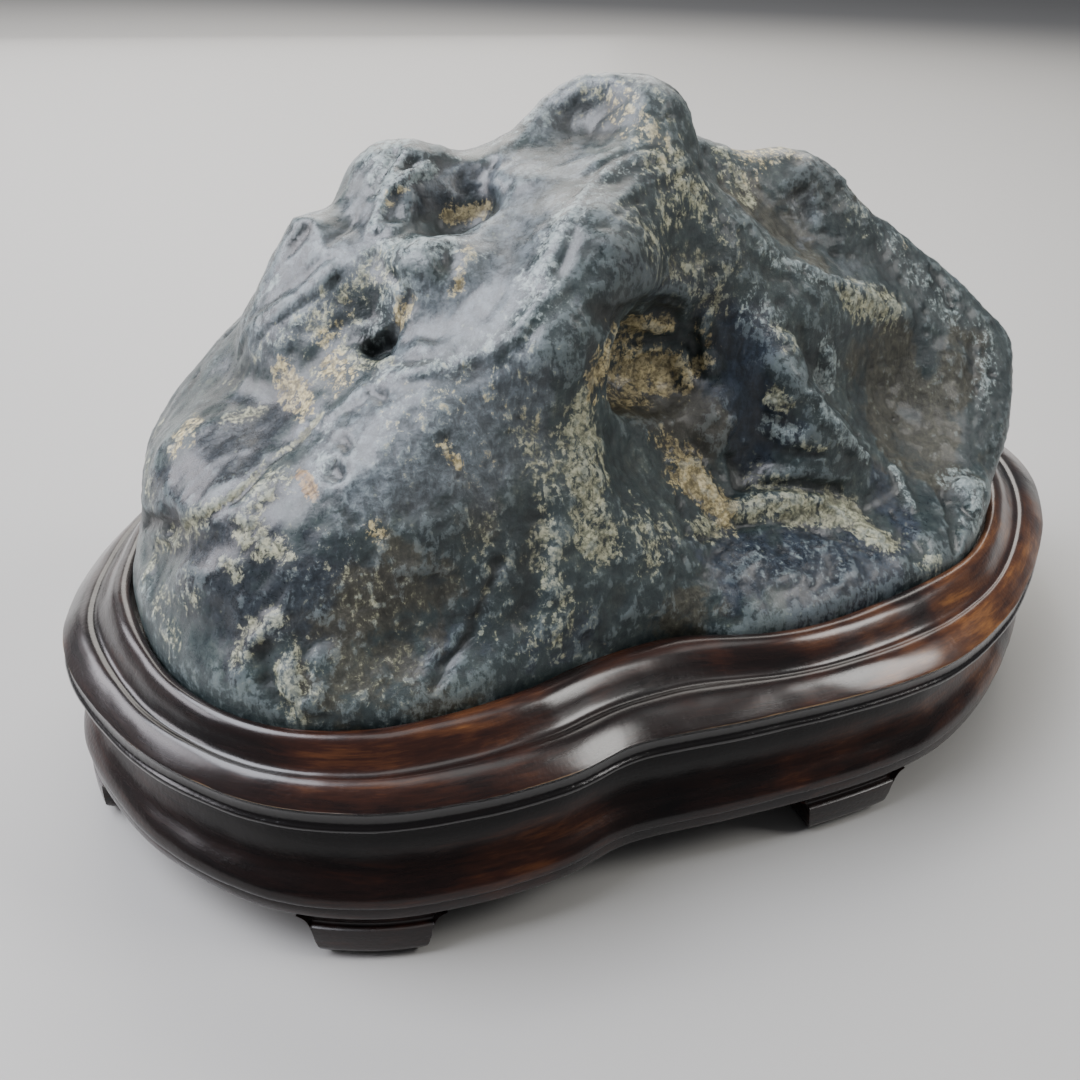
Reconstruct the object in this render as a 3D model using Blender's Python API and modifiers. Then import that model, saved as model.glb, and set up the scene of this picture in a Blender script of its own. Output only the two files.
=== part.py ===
"""A scholar's rock seated in its carved hardwood stand. Metres, +Z up.

The stand is long along X and its front faces -Y. The origin is on the surface it stands on, under
the middle of the stand. The stone is worn out of a ball: broad faces are laid against each other,
ridges and bosses are blended on, and hollows are blended away. The stand is one block of wood:
a moulding that runs round a plan outline, bracket feet joined under it, and a seat cut to the stone.
"""

from collections import namedtuple

import bmesh
import bpy
import numpy as np

# Heights of the stand, from the surface up.
FOOT_HEIGHT = 0.010
LIP_LOW = 0.0306
LIP_HIGH = 0.034
RIM_TOP = 0.043

# How the stone meets the stand.
SEAM_HEIGHT = 0.0425
STONE_BOTTOM = 0.036
SEAM_BLEND = 0.010
SEAT_GAP = 0.0005

# Mesh fineness.
STAND_SEGMENTS = 72
SEAT_SEGMENTS = 72
STONE_SUBDIVISIONS = 6
STONE_VOXEL = 0.0016
STONE_TRIANGLES = 5800
CURVE_STEPS = 5

# Widths of the blends in the stone.
LEFT_BLEND = 0.008
RIGHT_BLEND = 0.008
BODY_BLEND = 0.008
BOTTOM_BLEND = 0.004

# Plan of the stand's lip, anticlockwise from the back of the left end.
LIP_PLAN = [
    (-0.102, 0.033), (-0.1105, 0.014), (-0.1145, -0.004), (-0.114, -0.019),
    (-0.108, -0.035), (-0.099, -0.0495), (-0.084, -0.0635), (-0.067, -0.0705),
    (-0.05, -0.0715), (-0.034, -0.0695), (-0.02, -0.065), (0.0, -0.064),
    (0.02, -0.0625), (0.038, -0.0595), (0.052, -0.0545), (0.068, -0.0445),
    (0.084, -0.0305), (0.099, -0.014), (0.111, 0.006), (0.115, 0.024),
    (0.11, 0.043), (0.095, 0.059), (0.072, 0.0685), (0.04, 0.0715),
    (0.0, 0.0715), (-0.04, 0.069), (-0.072, 0.06), (-0.092, 0.047),
]

# Plan of the stone where it enters the stand, anticlockwise from the left end.
SEAM_PLAN = [
    (-0.101, -0.002), (-0.1005, -0.018), (-0.095, -0.037), (-0.084, -0.052),
    (-0.068, -0.059), (-0.05, -0.0585), (-0.031, -0.053), (-0.017, -0.0485),
    (-0.006, -0.0465), (0.006, -0.0505), (0.02, -0.0495), (0.04, -0.0435),
    (0.06, -0.0355), (0.0745, -0.0225), (0.0845, -0.0085), (0.0905, 0.004),
    (0.0925, 0.0155), (0.089, 0.03), (0.075, 0.046), (0.045, 0.057),
    (0.005, 0.06), (-0.038, 0.057), (-0.072, 0.048), (-0.093, 0.029),
]

# The moulding below the lip: how far it is set in from the lip, and its height.
SIDE_MOULDING = [
    (0.0011, FOOT_HEIGHT),
    (0.0003, FOOT_HEIGHT + 0.0008),
    (0.0, FOOT_HEIGHT + 0.0024),
    (0.0003, FOOT_HEIGHT + 0.0042),
    (0.0014, FOOT_HEIGHT + 0.0058),
    (0.0032, FOOT_HEIGHT + 0.0080),
    (0.0046, FOOT_HEIGHT + 0.0108),
    (0.0052, FOOT_HEIGHT + 0.0142),
    (0.0044, LIP_LOW - 0.0022),
    (0.0003, LIP_LOW),
    (0.0, LIP_LOW + 0.0006),
    (0.0, LIP_HIGH),
    (0.0005, LIP_HIGH + 0.0006),
]

# The moulding on top: how far across the rim it is, from the lip (0) to the stone (1), and its height.
RIM_MOULDING = [
    (0.12, RIM_TOP - 0.0058),
    (0.25, RIM_TOP - 0.0044),
    (0.40, RIM_TOP - 0.0048),
    (0.50, RIM_TOP - 0.0038),
    (0.62, RIM_TOP - 0.0014),
    (0.76, RIM_TOP),
    (0.90, RIM_TOP - 0.0002),
    (1.0, RIM_TOP - 0.0008),
]
RIM_UNDER_STONE = 0.003

# Bracket feet: where each one is on the plan, and half of its lower edge, from the end to the middle,
# as distance along the outline and height.
FEET = {
    "left_end": (-0.1115, -0.0165),
    "front_left": (-0.0675, -0.0695),
    "front_right": (0.0265, -0.0605),
    "right_end": (0.1090, 0.0240),
    "back_right": (0.0440, 0.0680),
    "back_left": (-0.0520, 0.0640),
}
FOOT_EDGE = [
    (0.0124, FOOT_HEIGHT - 0.0002),
    (0.0110, FOOT_HEIGHT - 0.0012),
    (0.0101, FOOT_HEIGHT - 0.0032),
    (0.0096, 0.0034),
    (0.0088, 0.0012),
    (0.0074, 0.0),
    (0.0030, 0.0),
]
FOOT_FACE_INSET = 0.0008
FOOT_THICKNESS = 0.0100
FOOT_JOIN = 0.0015

# The stone is worn outward from this point, out to this reach.
STONE_CENTRE = np.array([-0.005, 0.0, 0.062])
STONE_REACH = 0.150
STONE_PROPORTIONS = np.array([1.0, 0.75, 0.70])
WEAR_STEPS = 60
WEAR_HALVINGS = 14
SETTLE_ROUNDS = 4
SLOPE_STEP = 0.0002

# A broad face of the stone: a point on it and the way it looks.
Face = namedtuple("Face", "name point outward")

# A ridge, boss or hollow: a rod with round ends, and the width over which it blends into the stone.
Lump = namedtuple("Lump", "name start end start_radius end_radius blend")

LEFT_MASS = [
    Face("upper slope", (-0.06, -0.015, 0.0875), (-0.548, -0.24, 0.80)),
    Face("left shoulder", (-0.0887, -0.02, 0.0757), (-0.77, -0.05, 0.63)),
    Face("left end", (-0.098, -0.005, 0.062), (-0.99, -0.02, 0.06)),
    Face("front corner", (-0.092, -0.042, 0.044), (-0.77, -0.47, 0.43)),
    Face("front", (-0.052, -0.0495, 0.065), (-0.06, -0.89, 0.44)),
    Face("front under spine", (-0.031, -0.046, 0.072), (0.1, -0.96, 0.25)),
    Face("brow", (-0.011, -0.026, 0.098), (0.64, -0.71, 0.29)),
    Face("brow right", (0.012, -0.008, 0.101), (0.25, -0.75, 0.62)),
    Face("crown", (-0.005, 0.005, 0.122), (0.1, 0.0, 1.0)),
    Face("back slope", (-0.035, 0.0138, 0.1158), (-0.15, 0.72, 0.66)),
    Face("back left", (-0.0835, 0.0112, 0.0838), (-0.67, 0.48, 0.57)),
    Face("back foot", (-0.04, 0.052, 0.06), (0.04, 0.93, 0.36)),
    Face("right limit", (0.014, 0.0, 0.108), (0.62, 0.1, 0.78)),
]

RIGHT_MASS = [
    Face("front right slope", (0.01, -0.049, 0.044), (0.03, -0.745, 0.667)),
    Face("right front", (0.076, -0.022, 0.043), (0.27, -0.74, 0.62)),
    Face("shoulder top", (0.04, 0.022, 0.1095), (0.33, 0.1, 0.94)),
    Face("shoulder fall", (0.078, 0.0152, 0.0915), (0.62, 0.08, 0.78)),
    Face("right end high", (0.0985, 0.005, 0.0740), (0.86, -0.05, 0.51)),
    Face("right end", (0.1005, 0.005, 0.067), (0.88, -0.10, -0.46)),
    Face("right back", (0.07, 0.035, 0.075), (0.45, 0.75, 0.45)),
    Face("back", (0.02, 0.05, 0.065), (0.05, 0.88, 0.45)),
    Face("inner left", (0.002, 0.01, 0.112), (-0.75, 0.0, 0.66)),
]

RIDGES = [
    Lump("summit", (-0.0100, 0.0095, 0.1160), (-0.0028, 0.0075, 0.1167), 0.0118, 0.0112, 0.006),
    Lump("front ridge, high", (-0.008, -0.005, 0.108), (-0.018, -0.019, 0.102), 0.007, 0.007, 0.01),
    Lump("front ridge, low", (-0.018, -0.019, 0.102), (-0.029, -0.031, 0.0915), 0.007, 0.007, 0.01),
    Lump("right ridge, high", (0.001, 0.002, 0.105), (0.0095, 0.0, 0.094), 0.009, 0.01, 0.008),
    Lump("right ridge, middle", (0.012, 0.0, 0.094), (0.027, 0.0, 0.084), 0.01, 0.01, 0.008),
    Lump("right ridge, low", (0.027, 0.0, 0.084), (0.05, 0.004, 0.077), 0.01, 0.009, 0.008),
    Lump("knob ridge, high", (0.014, -0.01, 0.084), (0.021, -0.017, 0.075), 0.006, 0.006, 0.005),
    Lump("knob ridge, low", (0.021, -0.017, 0.075), (0.031, -0.022, 0.062), 0.006, 0.006, 0.005),
    Lump("rim under bowl", (0.03, -0.021, 0.06), (0.052, -0.018, 0.047), 0.006, 0.005, 0.006),
    Lump("back shoulder", (0.039, 0.025, 0.0985), (0.048, 0.024, 0.0955), 0.0115, 0.0105, 0.008),
    Lump("back buttress, left", (-0.046, 0.03, 0.084), (-0.054, 0.044, 0.05), 0.01, 0.013, 0.01),
    Lump("back buttress, middle", (0.014, 0.028, 0.096), (0.018, 0.048, 0.052), 0.01, 0.012, 0.01),
    Lump("back buttress, right", (0.056, 0.03, 0.078), (0.078, 0.034, 0.052), 0.009, 0.011, 0.01),
]

BOSSES = [
    Lump("left lobe", (-0.0815, -0.012, 0.0615), (-0.0785, -0.028, 0.058), 0.014, 0.013, 0.008),
    Lump("left boss", (-0.0622, 0.005, 0.0990), (-0.0705, 0.005, 0.0860), 0.0065, 0.0055, 0.008),
    Lump("slope below left boss", (-0.0575, -0.004, 0.0950), (-0.068, -0.004, 0.0845), 0.006, 0.006, 0.010),
    Lump("saddle", (-0.056, 0.008, 0.0975), (-0.05, 0.01, 0.101), 0.0055, 0.0065, 0.006),
    Lump("skyline boss", (-0.0445, 0.01, 0.107), (-0.047, 0.012, 0.1072), 0.0095, 0.0088, 0.008),
    Lump("rim left of pit", (-0.0475, 0.003, 0.1055), (-0.0495, -0.006, 0.0985), 0.005, 0.0045, 0.006),
    Lump("boss below pit", (-0.043, -0.014, 0.098), (-0.045, -0.014, 0.097), 0.007, 0.007, 0.006),
    Lump("knob in hollow", (-0.001, -0.016, 0.086), (0.005, -0.017, 0.079), 0.004, 0.004, 0.004),
    Lump("right boss", (0.071, -0.02, 0.045), (0.071, -0.02, 0.045), 0.006, 0.006, 0.005),
]

HOLLOWS = [
    Lump("dip by summit", (-0.021, -0.001, 0.124), (-0.017, 0.001, 0.126), 0.009, 0.01, 0.005),
    Lump("pit", (-0.0400, -0.0040, 0.1060), (-0.0355, -0.0030, 0.1080), 0.0044, 0.0048, 0.003),
    Lump("small hole", (-0.056, -0.02, 0.0895), (-0.056, -0.02, 0.0895), 0.0035, 0.0035, 0.0015),
    Lump("crease, end", (-0.103, -0.006, 0.0535), (-0.097, -0.024, 0.0555), 0.0035, 0.0035, 0.003),
    Lump("crease, front", (-0.097, -0.024, 0.0555), (-0.085, -0.038, 0.067), 0.003, 0.002, 0.004),
    Lump("main hollow", (-0.010, -0.0195, 0.083), (0.002, -0.0185, 0.081), 0.0095, 0.0085, 0.007),
    Lump("second hollow", (0.000, -0.0275, 0.0700), (0.013, -0.0250, 0.0640), 0.0050, 0.0050, 0.008),
    Lump("channel", (0.008, -0.019, 0.088), (0.018, -0.026, 0.07), 0.005, 0.005, 0.004),
    Lump("terrace, left", (-0.008, -0.038, 0.076), (0.008, -0.04, 0.066), 0.012, 0.012, 0.006),
    Lump("terrace, middle", (0.008, -0.04, 0.066), (0.034, -0.04, 0.061), 0.012, 0.012, 0.006),
    Lump("terrace, right", (0.034, -0.04, 0.061), (0.052, -0.033, 0.06), 0.012, 0.012, 0.006),
    Lump("bowl", (0.061, -0.021, 0.077), (0.061, -0.021, 0.077), 0.022, 0.022, 0.006),
    Lump("notch by shoulder", (0.0605, 0.021, 0.1065), (0.063, 0.024, 0.104), 0.007, 0.006, 0.006),
    Lump("valley behind ridge", (0.02, 0.008, 0.114), (0.036, 0.004, 0.104), 0.006, 0.007, 0.006),
    Lump("back hollow, left", (-0.02, 0.052, 0.092), (-0.008, 0.062, 0.066), 0.012, 0.014, 0.01),
    Lump("back hollow, right", (0.062, 0.048, 0.084), (0.066, 0.058, 0.06), 0.01, 0.012, 0.008),
    Lump("back pit", (0.024, 0.046, 0.088), (0.024, 0.046, 0.088), 0.006, 0.006, 0.003),
]


def clear_scene():
    for old in list(bpy.data.objects):
        bpy.data.objects.remove(old)


def make_collection(name):
    collection = bpy.data.collections.new(name)
    bpy.context.scene.collection.children.link(collection)
    return collection


def make_material(name, colour, roughness):
    material = bpy.data.materials.new(name)
    material.use_nodes = True
    shader = material.node_tree.nodes["Principled BSDF"]
    shader.inputs["Base Color"].default_value = (*colour, 1.0)
    shader.inputs["Roughness"].default_value = roughness
    shader.inputs["Metallic"].default_value = 0.0
    return material


def smooth_loop(points, steps):
    """A closed curve through the points, with this many steps from each point to the next."""
    here = np.array(points)
    before, after, beyond = np.roll(here, 1, 0), np.roll(here, -1, 0), np.roll(here, -2, 0)
    parts = []
    for t in np.arange(steps) / steps:
        part = 2 * here + (after - before) * t
        part += (2 * before - 5 * here + 4 * after - beyond) * t**2
        part += (3 * here - before - 3 * after + beyond) * t**3
        parts.append(part / 2)
    return np.stack(parts, axis=1).reshape(-1, 2)


def along_loop(loop, distances):
    """Points at these distances along a closed loop, and the outward direction at each."""
    closed = np.vstack([loop, loop[:1]])
    lengths = np.linalg.norm(np.diff(closed, axis=0), axis=1)
    travelled = np.concatenate([[0.0], np.cumsum(lengths)])

    def at(where):
        where = np.mod(where, travelled[-1])
        return np.column_stack([np.interp(where, travelled, closed[:, axis]) for axis in (0, 1)])

    reach = travelled[-1] / len(loop)
    way = at(distances + reach) - at(distances - reach)
    way /= np.linalg.norm(way, axis=1, keepdims=True)
    return at(distances), np.column_stack([way[:, 1], -way[:, 0]])


def loop_length(loop):
    return np.linalg.norm(np.roll(loop, -1, 0) - loop, axis=1).sum()


def distance_inward(points, outward, loop):
    """How far each point is from the loop, straight inward."""
    way = -outward[:, None, :]
    edge = (np.roll(loop, -1, 0) - loop)[None, :, :]
    gap = loop[None, :, :] - points[:, None, :]
    turn = way[..., 0] * edge[..., 1] - way[..., 1] * edge[..., 0]
    turn = np.where(np.abs(turn) < 1e-12, 1e-12, turn)
    reach = (gap[..., 0] * edge[..., 1] - gap[..., 1] * edge[..., 0]) / turn
    share = (gap[..., 0] * way[..., 1] - gap[..., 1] * way[..., 0]) / turn
    met = (share >= 0) & (share <= 1) & (reach > 0)
    width = np.where(met, reach, np.inf).min(axis=1)
    for _ in range(3):
        width = (np.roll(width, 1) + 2 * width + np.roll(width, -1)) / 4
    return width


def soft_min(first, second, blend):
    """The smaller of two distances, rounded over where they are alike."""
    closeness = np.maximum(blend - np.abs(first - second), 0) / blend
    return np.minimum(first, second) - closeness**2 * blend / 4


def soft_max(first, second, blend):
    return -soft_min(-first, -second, blend)


def mass_distance(points, faces, blend):
    """Distance outside a body that is bounded by broad faces."""
    distance = None
    for face in faces:
        outward = np.array(face.outward) / np.linalg.norm(face.outward)
        beyond = (points - np.array(face.point)) @ outward
        distance = beyond if distance is None else soft_max(distance, beyond, blend)
    return distance


def lump_distance(points, lump):
    """Distance outside a rod with round ends."""
    start = np.array(lump.start)
    along = np.array(lump.end) - start
    share = (points - start) @ along / max(along @ along, 1e-12)
    share = np.clip(share, 0, 1)[:, None]
    radius = lump.start_radius + (lump.end_radius - lump.start_radius) * share[:, 0]
    return np.linalg.norm(points - start - along * share, axis=1) - radius


def plan_distance(points, loop):
    """Distance outside a closed loop, seen from above."""
    x, y = points[:, 0], points[:, 1]
    nearest = np.full(len(points), np.inf)
    inside = np.zeros(len(points), bool)
    for (ax, ay), (bx, by) in zip(loop, np.roll(loop, -1, 0)):
        ex, ey = bx - ax, by - ay
        share = np.clip(((x - ax) * ex + (y - ay) * ey) / (ex**2 + ey**2), 0, 1)
        nearest = np.minimum(nearest, (x - ax - share * ex) ** 2 + (y - ay - share * ey) ** 2)
        if ey:
            inside ^= ((ay > y) != (by > y)) & (x < ex * (y - ay) / ey + ax)
    return np.where(inside, -1, 1) * np.sqrt(nearest)


def stone_distance(points, seam):
    """Distance outside the stone, roughly, which is all that the wearing needs."""
    left = mass_distance(points, LEFT_MASS, LEFT_BLEND)
    right = mass_distance(points, RIGHT_MASS, RIGHT_BLEND)
    distance = soft_min(left, right, BODY_BLEND)
    for lump in RIDGES + BOSSES:
        distance = soft_min(distance, lump_distance(points, lump), lump.blend)
    for lump in HOLLOWS:
        distance = soft_max(distance, -lump_distance(points, lump), lump.blend)
    height = np.clip((points[:, 2] - SEAM_HEIGHT) / SEAM_BLEND, 0, 1)
    height = height**2 * (3 - 2 * height)
    distance = plan_distance(points, seam) * (1 - height) + distance * height
    return soft_max(distance, STONE_BOTTOM - points[:, 2], BOTTOM_BLEND)


def worn_points(directions, seam):
    """For each direction from the centre, the point where the stone's surface is."""
    radii = np.linspace(0, STONE_REACH, WEAR_STEPS + 1)[1:]
    low = np.zeros(len(directions))
    high = np.full(len(directions), STONE_REACH)
    inside = np.ones(len(directions), bool)
    for radius in radii:
        outside = stone_distance(STONE_CENTRE + directions * radius, seam) >= 0
        leaving = inside & outside
        high[leaving] = radius
        low[leaving] = radius - radii[0]
        inside = ~outside
    for _ in range(WEAR_HALVINGS):
        middle = (low + high) / 2
        outside = stone_distance(STONE_CENTRE + directions * middle[:, None], seam) >= 0
        high = np.where(outside, middle, high)
        low = np.where(outside, low, middle)
    return STONE_CENTRE + directions * ((low + high) / 2)[:, None]


def drawn_to_surface(points, seam):
    """The points moved straight onto the stone's surface."""
    steps = np.eye(3) * SLOPE_STEP
    rises = [stone_distance(points + s, seam) - stone_distance(points - s, seam) for s in steps]
    slope = np.stack(rises, axis=1) / (2 * SLOPE_STEP)
    steepness = np.maximum((slope**2).sum(axis=1), 0.25)
    return points - slope * (stone_distance(points, seam) / steepness)[:, None]


def settled_points(points, edges, seam):
    """The points spread evenly over the surface, so that hollows get as many as slopes do."""
    for _ in range(SETTLE_ROUNDS):
        total = np.zeros_like(points)
        count = np.zeros(len(points))
        for near, far in ((edges[:, 0], edges[:, 1]), (edges[:, 1], edges[:, 0])):
            np.add.at(total, near, points[far])
            np.add.at(count, near, 1)
        points = (points + total / count[:, None]) / 2
        points = drawn_to_surface(drawn_to_surface(points, seam), seam)
    return points


def point_array(mesh):
    points = np.empty(len(mesh.vertices) * 3)
    mesh.vertices.foreach_get("co", points)
    return points.reshape(-1, 3)


def settle_mesh(mesh, seam):
    edges = np.empty(len(mesh.edges) * 2, np.int32)
    mesh.edges.foreach_get("vertices", edges)
    points = settled_points(point_array(mesh), edges.reshape(-1, 2), seam)
    mesh.vertices.foreach_set("co", points.ravel())
    mesh.update()


def make_stone(collection, material, seam):
    bpy.ops.mesh.primitive_ico_sphere_add(subdivisions=STONE_SUBDIVISIONS, radius=1.0)
    stone = bpy.context.object
    stone.name = stone.data.name = "stone"
    directions = point_array(stone.data) * STONE_PROPORTIONS
    directions /= np.linalg.norm(directions, axis=1, keepdims=True)
    stone.data.vertices.foreach_set("co", worn_points(directions, seam).ravel())
    settle_mesh(stone.data, seam)

    even = stone.modifiers.new("even faces", "REMESH")
    even.mode = "VOXEL"
    even.voxel_size = STONE_VOXEL
    bpy.ops.object.modifier_apply(modifier=even.name)
    settle_mesh(stone.data, seam)
    stone.data.materials.append(material)
    stone.data.shade_smooth()

    thin = stone.modifiers.new("fewer faces", "DECIMATE")
    triangles = sum(len(face.vertices) - 2 for face in stone.data.polygons)
    thin.ratio = STONE_TRIANGLES / triangles
    move_to(stone, collection)
    return stone


def move_to(thing, collection):
    for old in list(thing.users_collection):
        old.objects.unlink(thing)
    collection.objects.link(thing)


def make_helper(name, mesh, collection):
    """A form that joins or cuts another one and isn't a part."""
    helper = bpy.data.objects.new(name, mesh)
    helper.hide_render = True
    helper.display_type = "WIRE"
    collection.objects.link(helper)
    return helper


def make_foot_form(name, place, plan, collection):
    """A bracket foot that follows the stand's outline, lofted from upright slices."""
    distances = np.linspace(0, loop_length(plan), len(plan), endpoint=False)
    middle = distances[np.linalg.norm(along_loop(plan, distances)[0] - place, axis=1).argmin()]
    slices = [(-x, z) for x, z in FOOT_EDGE] + [(x, z) for x, z in reversed(FOOT_EDGE)]
    points, outward = along_loop(plan, middle + np.array([x for x, _ in slices]))
    face = points - outward * FOOT_FACE_INSET
    back = face - outward * FOOT_THICKNESS
    top = FOOT_HEIGHT + FOOT_JOIN

    shape = bmesh.new()
    rings = []
    for (_, bottom), front, rear in zip(slices, face, back):
        corners = ((*front, bottom), (*front, top), (*rear, top), (*rear, bottom))
        rings.append([shape.verts.new(corner) for corner in corners])
    for ring, following in zip(rings, rings[1:]):
        for i in range(4):
            j = (i + 1) % 4
            shape.faces.new((ring[i], ring[j], following[j], following[i]))
    shape.faces.new(rings[0][::-1])
    shape.faces.new(rings[-1])
    bmesh.ops.recalc_face_normals(shape, faces=shape.faces)
    mesh = bpy.data.meshes.new(name)
    shape.to_mesh(mesh)
    shape.free()
    return make_helper(name, mesh, collection)


def make_seat_cutter(seam, collection):
    """The foot of the stone, a little larger all round, as an upright block."""
    distances = np.linspace(0, loop_length(seam), SEAT_SEGMENTS, endpoint=False)
    edge, outward = along_loop(seam, distances)
    edge = edge + outward * SEAT_GAP
    shape = bmesh.new()
    floor = [shape.verts.new((x, y, STONE_BOTTOM - SEAT_GAP)) for x, y in edge]
    face = shape.faces.new(floor)
    raised = bmesh.ops.extrude_face_region(shape, geom=[face])["geom"]
    top = [item for item in raised if isinstance(item, bmesh.types.BMVert)]
    bmesh.ops.translate(shape, verts=top, vec=(0, 0, RIM_TOP))
    bmesh.ops.recalc_face_normals(shape, faces=shape.faces)
    mesh = bpy.data.meshes.new("seat_cutter")
    shape.to_mesh(mesh)
    shape.free()
    return make_helper("seat_cutter", mesh, collection)


def make_stand(collection, material, plan, seam):
    """The moulded block, ring over ring from its underside to the place where the stone goes in."""
    distances = np.linspace(0, loop_length(plan), STAND_SEGMENTS, endpoint=False)
    lip, outward = along_loop(plan, distances)
    width = distance_inward(lip, outward, seam)
    levels = [(np.full(STAND_SEGMENTS, inset), height) for inset, height in SIDE_MOULDING]
    levels += [(width * share, height) for share, height in RIM_MOULDING]
    levels.append((width + RIM_UNDER_STONE, RIM_MOULDING[-1][1]))

    shape = bmesh.new()
    rings = []
    for inset, height in levels:
        ring = lip - outward * inset[:, None]
        rings.append([shape.verts.new((x, y, height)) for x, y in ring])
    for ring, following in zip(rings, rings[1:]):
        for i in range(STAND_SEGMENTS):
            j = (i + 1) % STAND_SEGMENTS
            shape.faces.new((ring[i], ring[j], following[j], following[i]))
    shape.faces.new(rings[0][::-1])
    shape.faces.new(rings[-1])
    bmesh.ops.recalc_face_normals(shape, faces=shape.faces)
    mesh = bpy.data.meshes.new("stand")
    shape.to_mesh(mesh)
    shape.free()
    mesh.materials.append(material)
    mesh.shade_smooth()
    mesh.set_sharp_from_angle(angle=np.radians(50))
    stand = bpy.data.objects.new("stand", mesh)
    collection.objects.link(stand)
    return stand


def join_feet(stand, feet):
    joint = stand.modifiers.new("feet", "BOOLEAN")
    joint.operation = "UNION"
    joint.solver = "EXACT"
    joint.operand_type = "COLLECTION"
    joint.collection = feet


def cut_seat(stand, cutter):
    seat = stand.modifiers.new("seat", "BOOLEAN")
    seat.operation = "DIFFERENCE"
    seat.solver = "EXACT"
    seat.object = cutter


def main():
    clear_scene()
    parts = make_collection("scholars_rock")
    cutters = make_collection("cutters")
    feet = make_collection("feet")
    stone_grey = make_material("dark waxed stone", (0.045, 0.060, 0.070), 0.42)
    wood = make_material("dark lacquered wood", (0.075, 0.026, 0.014), 0.28)

    seam = smooth_loop(SEAM_PLAN, CURVE_STEPS)
    plan = smooth_loop(LIP_PLAN, CURVE_STEPS)
    make_stone(parts, stone_grey, seam)
    stand = make_stand(parts, wood, plan, seam)
    for name, place in FEET.items():
        make_foot_form("foot_" + name, place, plan, feet)
    join_feet(stand, feet)
    cut_seat(stand, make_seat_cutter(seam, cutters))


main()
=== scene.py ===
# %% [markdown]
# # A scholar's rock on its carved wooden stand
#
# The object is a dark waxed stone, worn by water into ridges, pits and hollows, which rests in a
# low hardwood stand that was carved to fit it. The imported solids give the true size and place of
# both. This lesson dresses them: the stone is sculpted finely over a copy of its solid, and the
# stand is made from the same outline with a finer moulding. Small sizes are written in
# millimetres, and MM turns them into Blender's metres.

# %% Load the frame
import math

import bmesh
import bpy
import numpy as np
from mathutils import Matrix, Vector, noise


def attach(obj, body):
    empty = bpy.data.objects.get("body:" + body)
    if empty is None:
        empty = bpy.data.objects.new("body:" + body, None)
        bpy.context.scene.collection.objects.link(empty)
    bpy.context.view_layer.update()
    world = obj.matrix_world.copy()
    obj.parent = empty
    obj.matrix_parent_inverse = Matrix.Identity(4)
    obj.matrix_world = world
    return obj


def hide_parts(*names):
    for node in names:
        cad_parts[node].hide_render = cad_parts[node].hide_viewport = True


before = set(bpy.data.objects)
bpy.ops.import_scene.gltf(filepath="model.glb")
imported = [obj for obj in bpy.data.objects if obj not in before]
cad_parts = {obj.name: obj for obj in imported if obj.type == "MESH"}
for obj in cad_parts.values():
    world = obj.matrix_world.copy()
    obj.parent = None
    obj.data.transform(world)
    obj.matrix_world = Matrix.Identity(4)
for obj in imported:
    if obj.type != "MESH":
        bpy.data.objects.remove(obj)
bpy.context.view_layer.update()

MM = 0.001
chance = np.random.default_rng(7)
bpy.ops.object.select_all(action="DESELECT")
print("CAD nodes:", sorted(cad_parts))

# %% [markdown]
# ## Camera
#
# A scholar's rock is looked at from close by and a little above, as from a chair at a desk. A
# camera this close gives strong perspective, so its place matters as much as its direction. It
# stands off the left front, looks down by about thirty degrees, and is tilted a little, as a
# camera held in the hand is.

# %% Set the camera
CAMERA_PLACE = Vector((-0.07679, -0.18656, 0.1525))
LOOKS_DOWN = math.radians(31)
HEADING = math.radians(17)
TILT = math.radians(2.5)
FOCAL_LENGTH = 35.0
SENSOR_WIDTH = 36.0

sight = Vector((math.sin(HEADING) * math.cos(LOOKS_DOWN),
                math.cos(HEADING) * math.cos(LOOKS_DOWN),
                -math.sin(LOOKS_DOWN)))
turn = sight.to_track_quat("-Z", "Y").to_matrix() @ Matrix.Rotation(TILT, 3, "Z")
bpy.ops.object.camera_add(location=CAMERA_PLACE, rotation=turn.to_euler())
camera = bpy.context.object
camera.name = "camera"
camera.data.sensor_width = SENSOR_WIDTH
camera.data.lens = FOCAL_LENGTH
camera.data.clip_start = 0.01
bpy.context.scene.camera = camera
print("camera looks along", tuple(round(v, 3) for v in sight))

# %% [markdown]
# ## Light and floor
#
# Waxed stone and lacquer show their shape by what they reflect, so the lights are large. The main
# one is a cool window high on the left, which gives the violet-grey sheen on the slopes that face
# it. A lower side window, further left, draws the highlights along the left of the moulding. Two
# soft walls behind light the tops and the far edges, a lamp on the right shows the near faces, and
# a weak ceiling opens the shadows. The floor is one plain pale sheet.

# %% Set the lights
def add_softbox(name, place, size, power, colour):
    """A large light that faces the stone. size is its width and height, in metres."""
    place = Vector(place)
    facing = (Vector((0.0, 0.0, 0.06)) - place).to_track_quat("-Z", "Y").to_euler()
    bpy.ops.object.light_add(type="AREA", location=place, rotation=facing)
    light = bpy.context.object
    light.name = name
    light.data.shape = "RECTANGLE"
    light.data.size, light.data.size_y = size
    light.data.energy = power
    light.data.color = colour
    light.visible_camera = False


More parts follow.
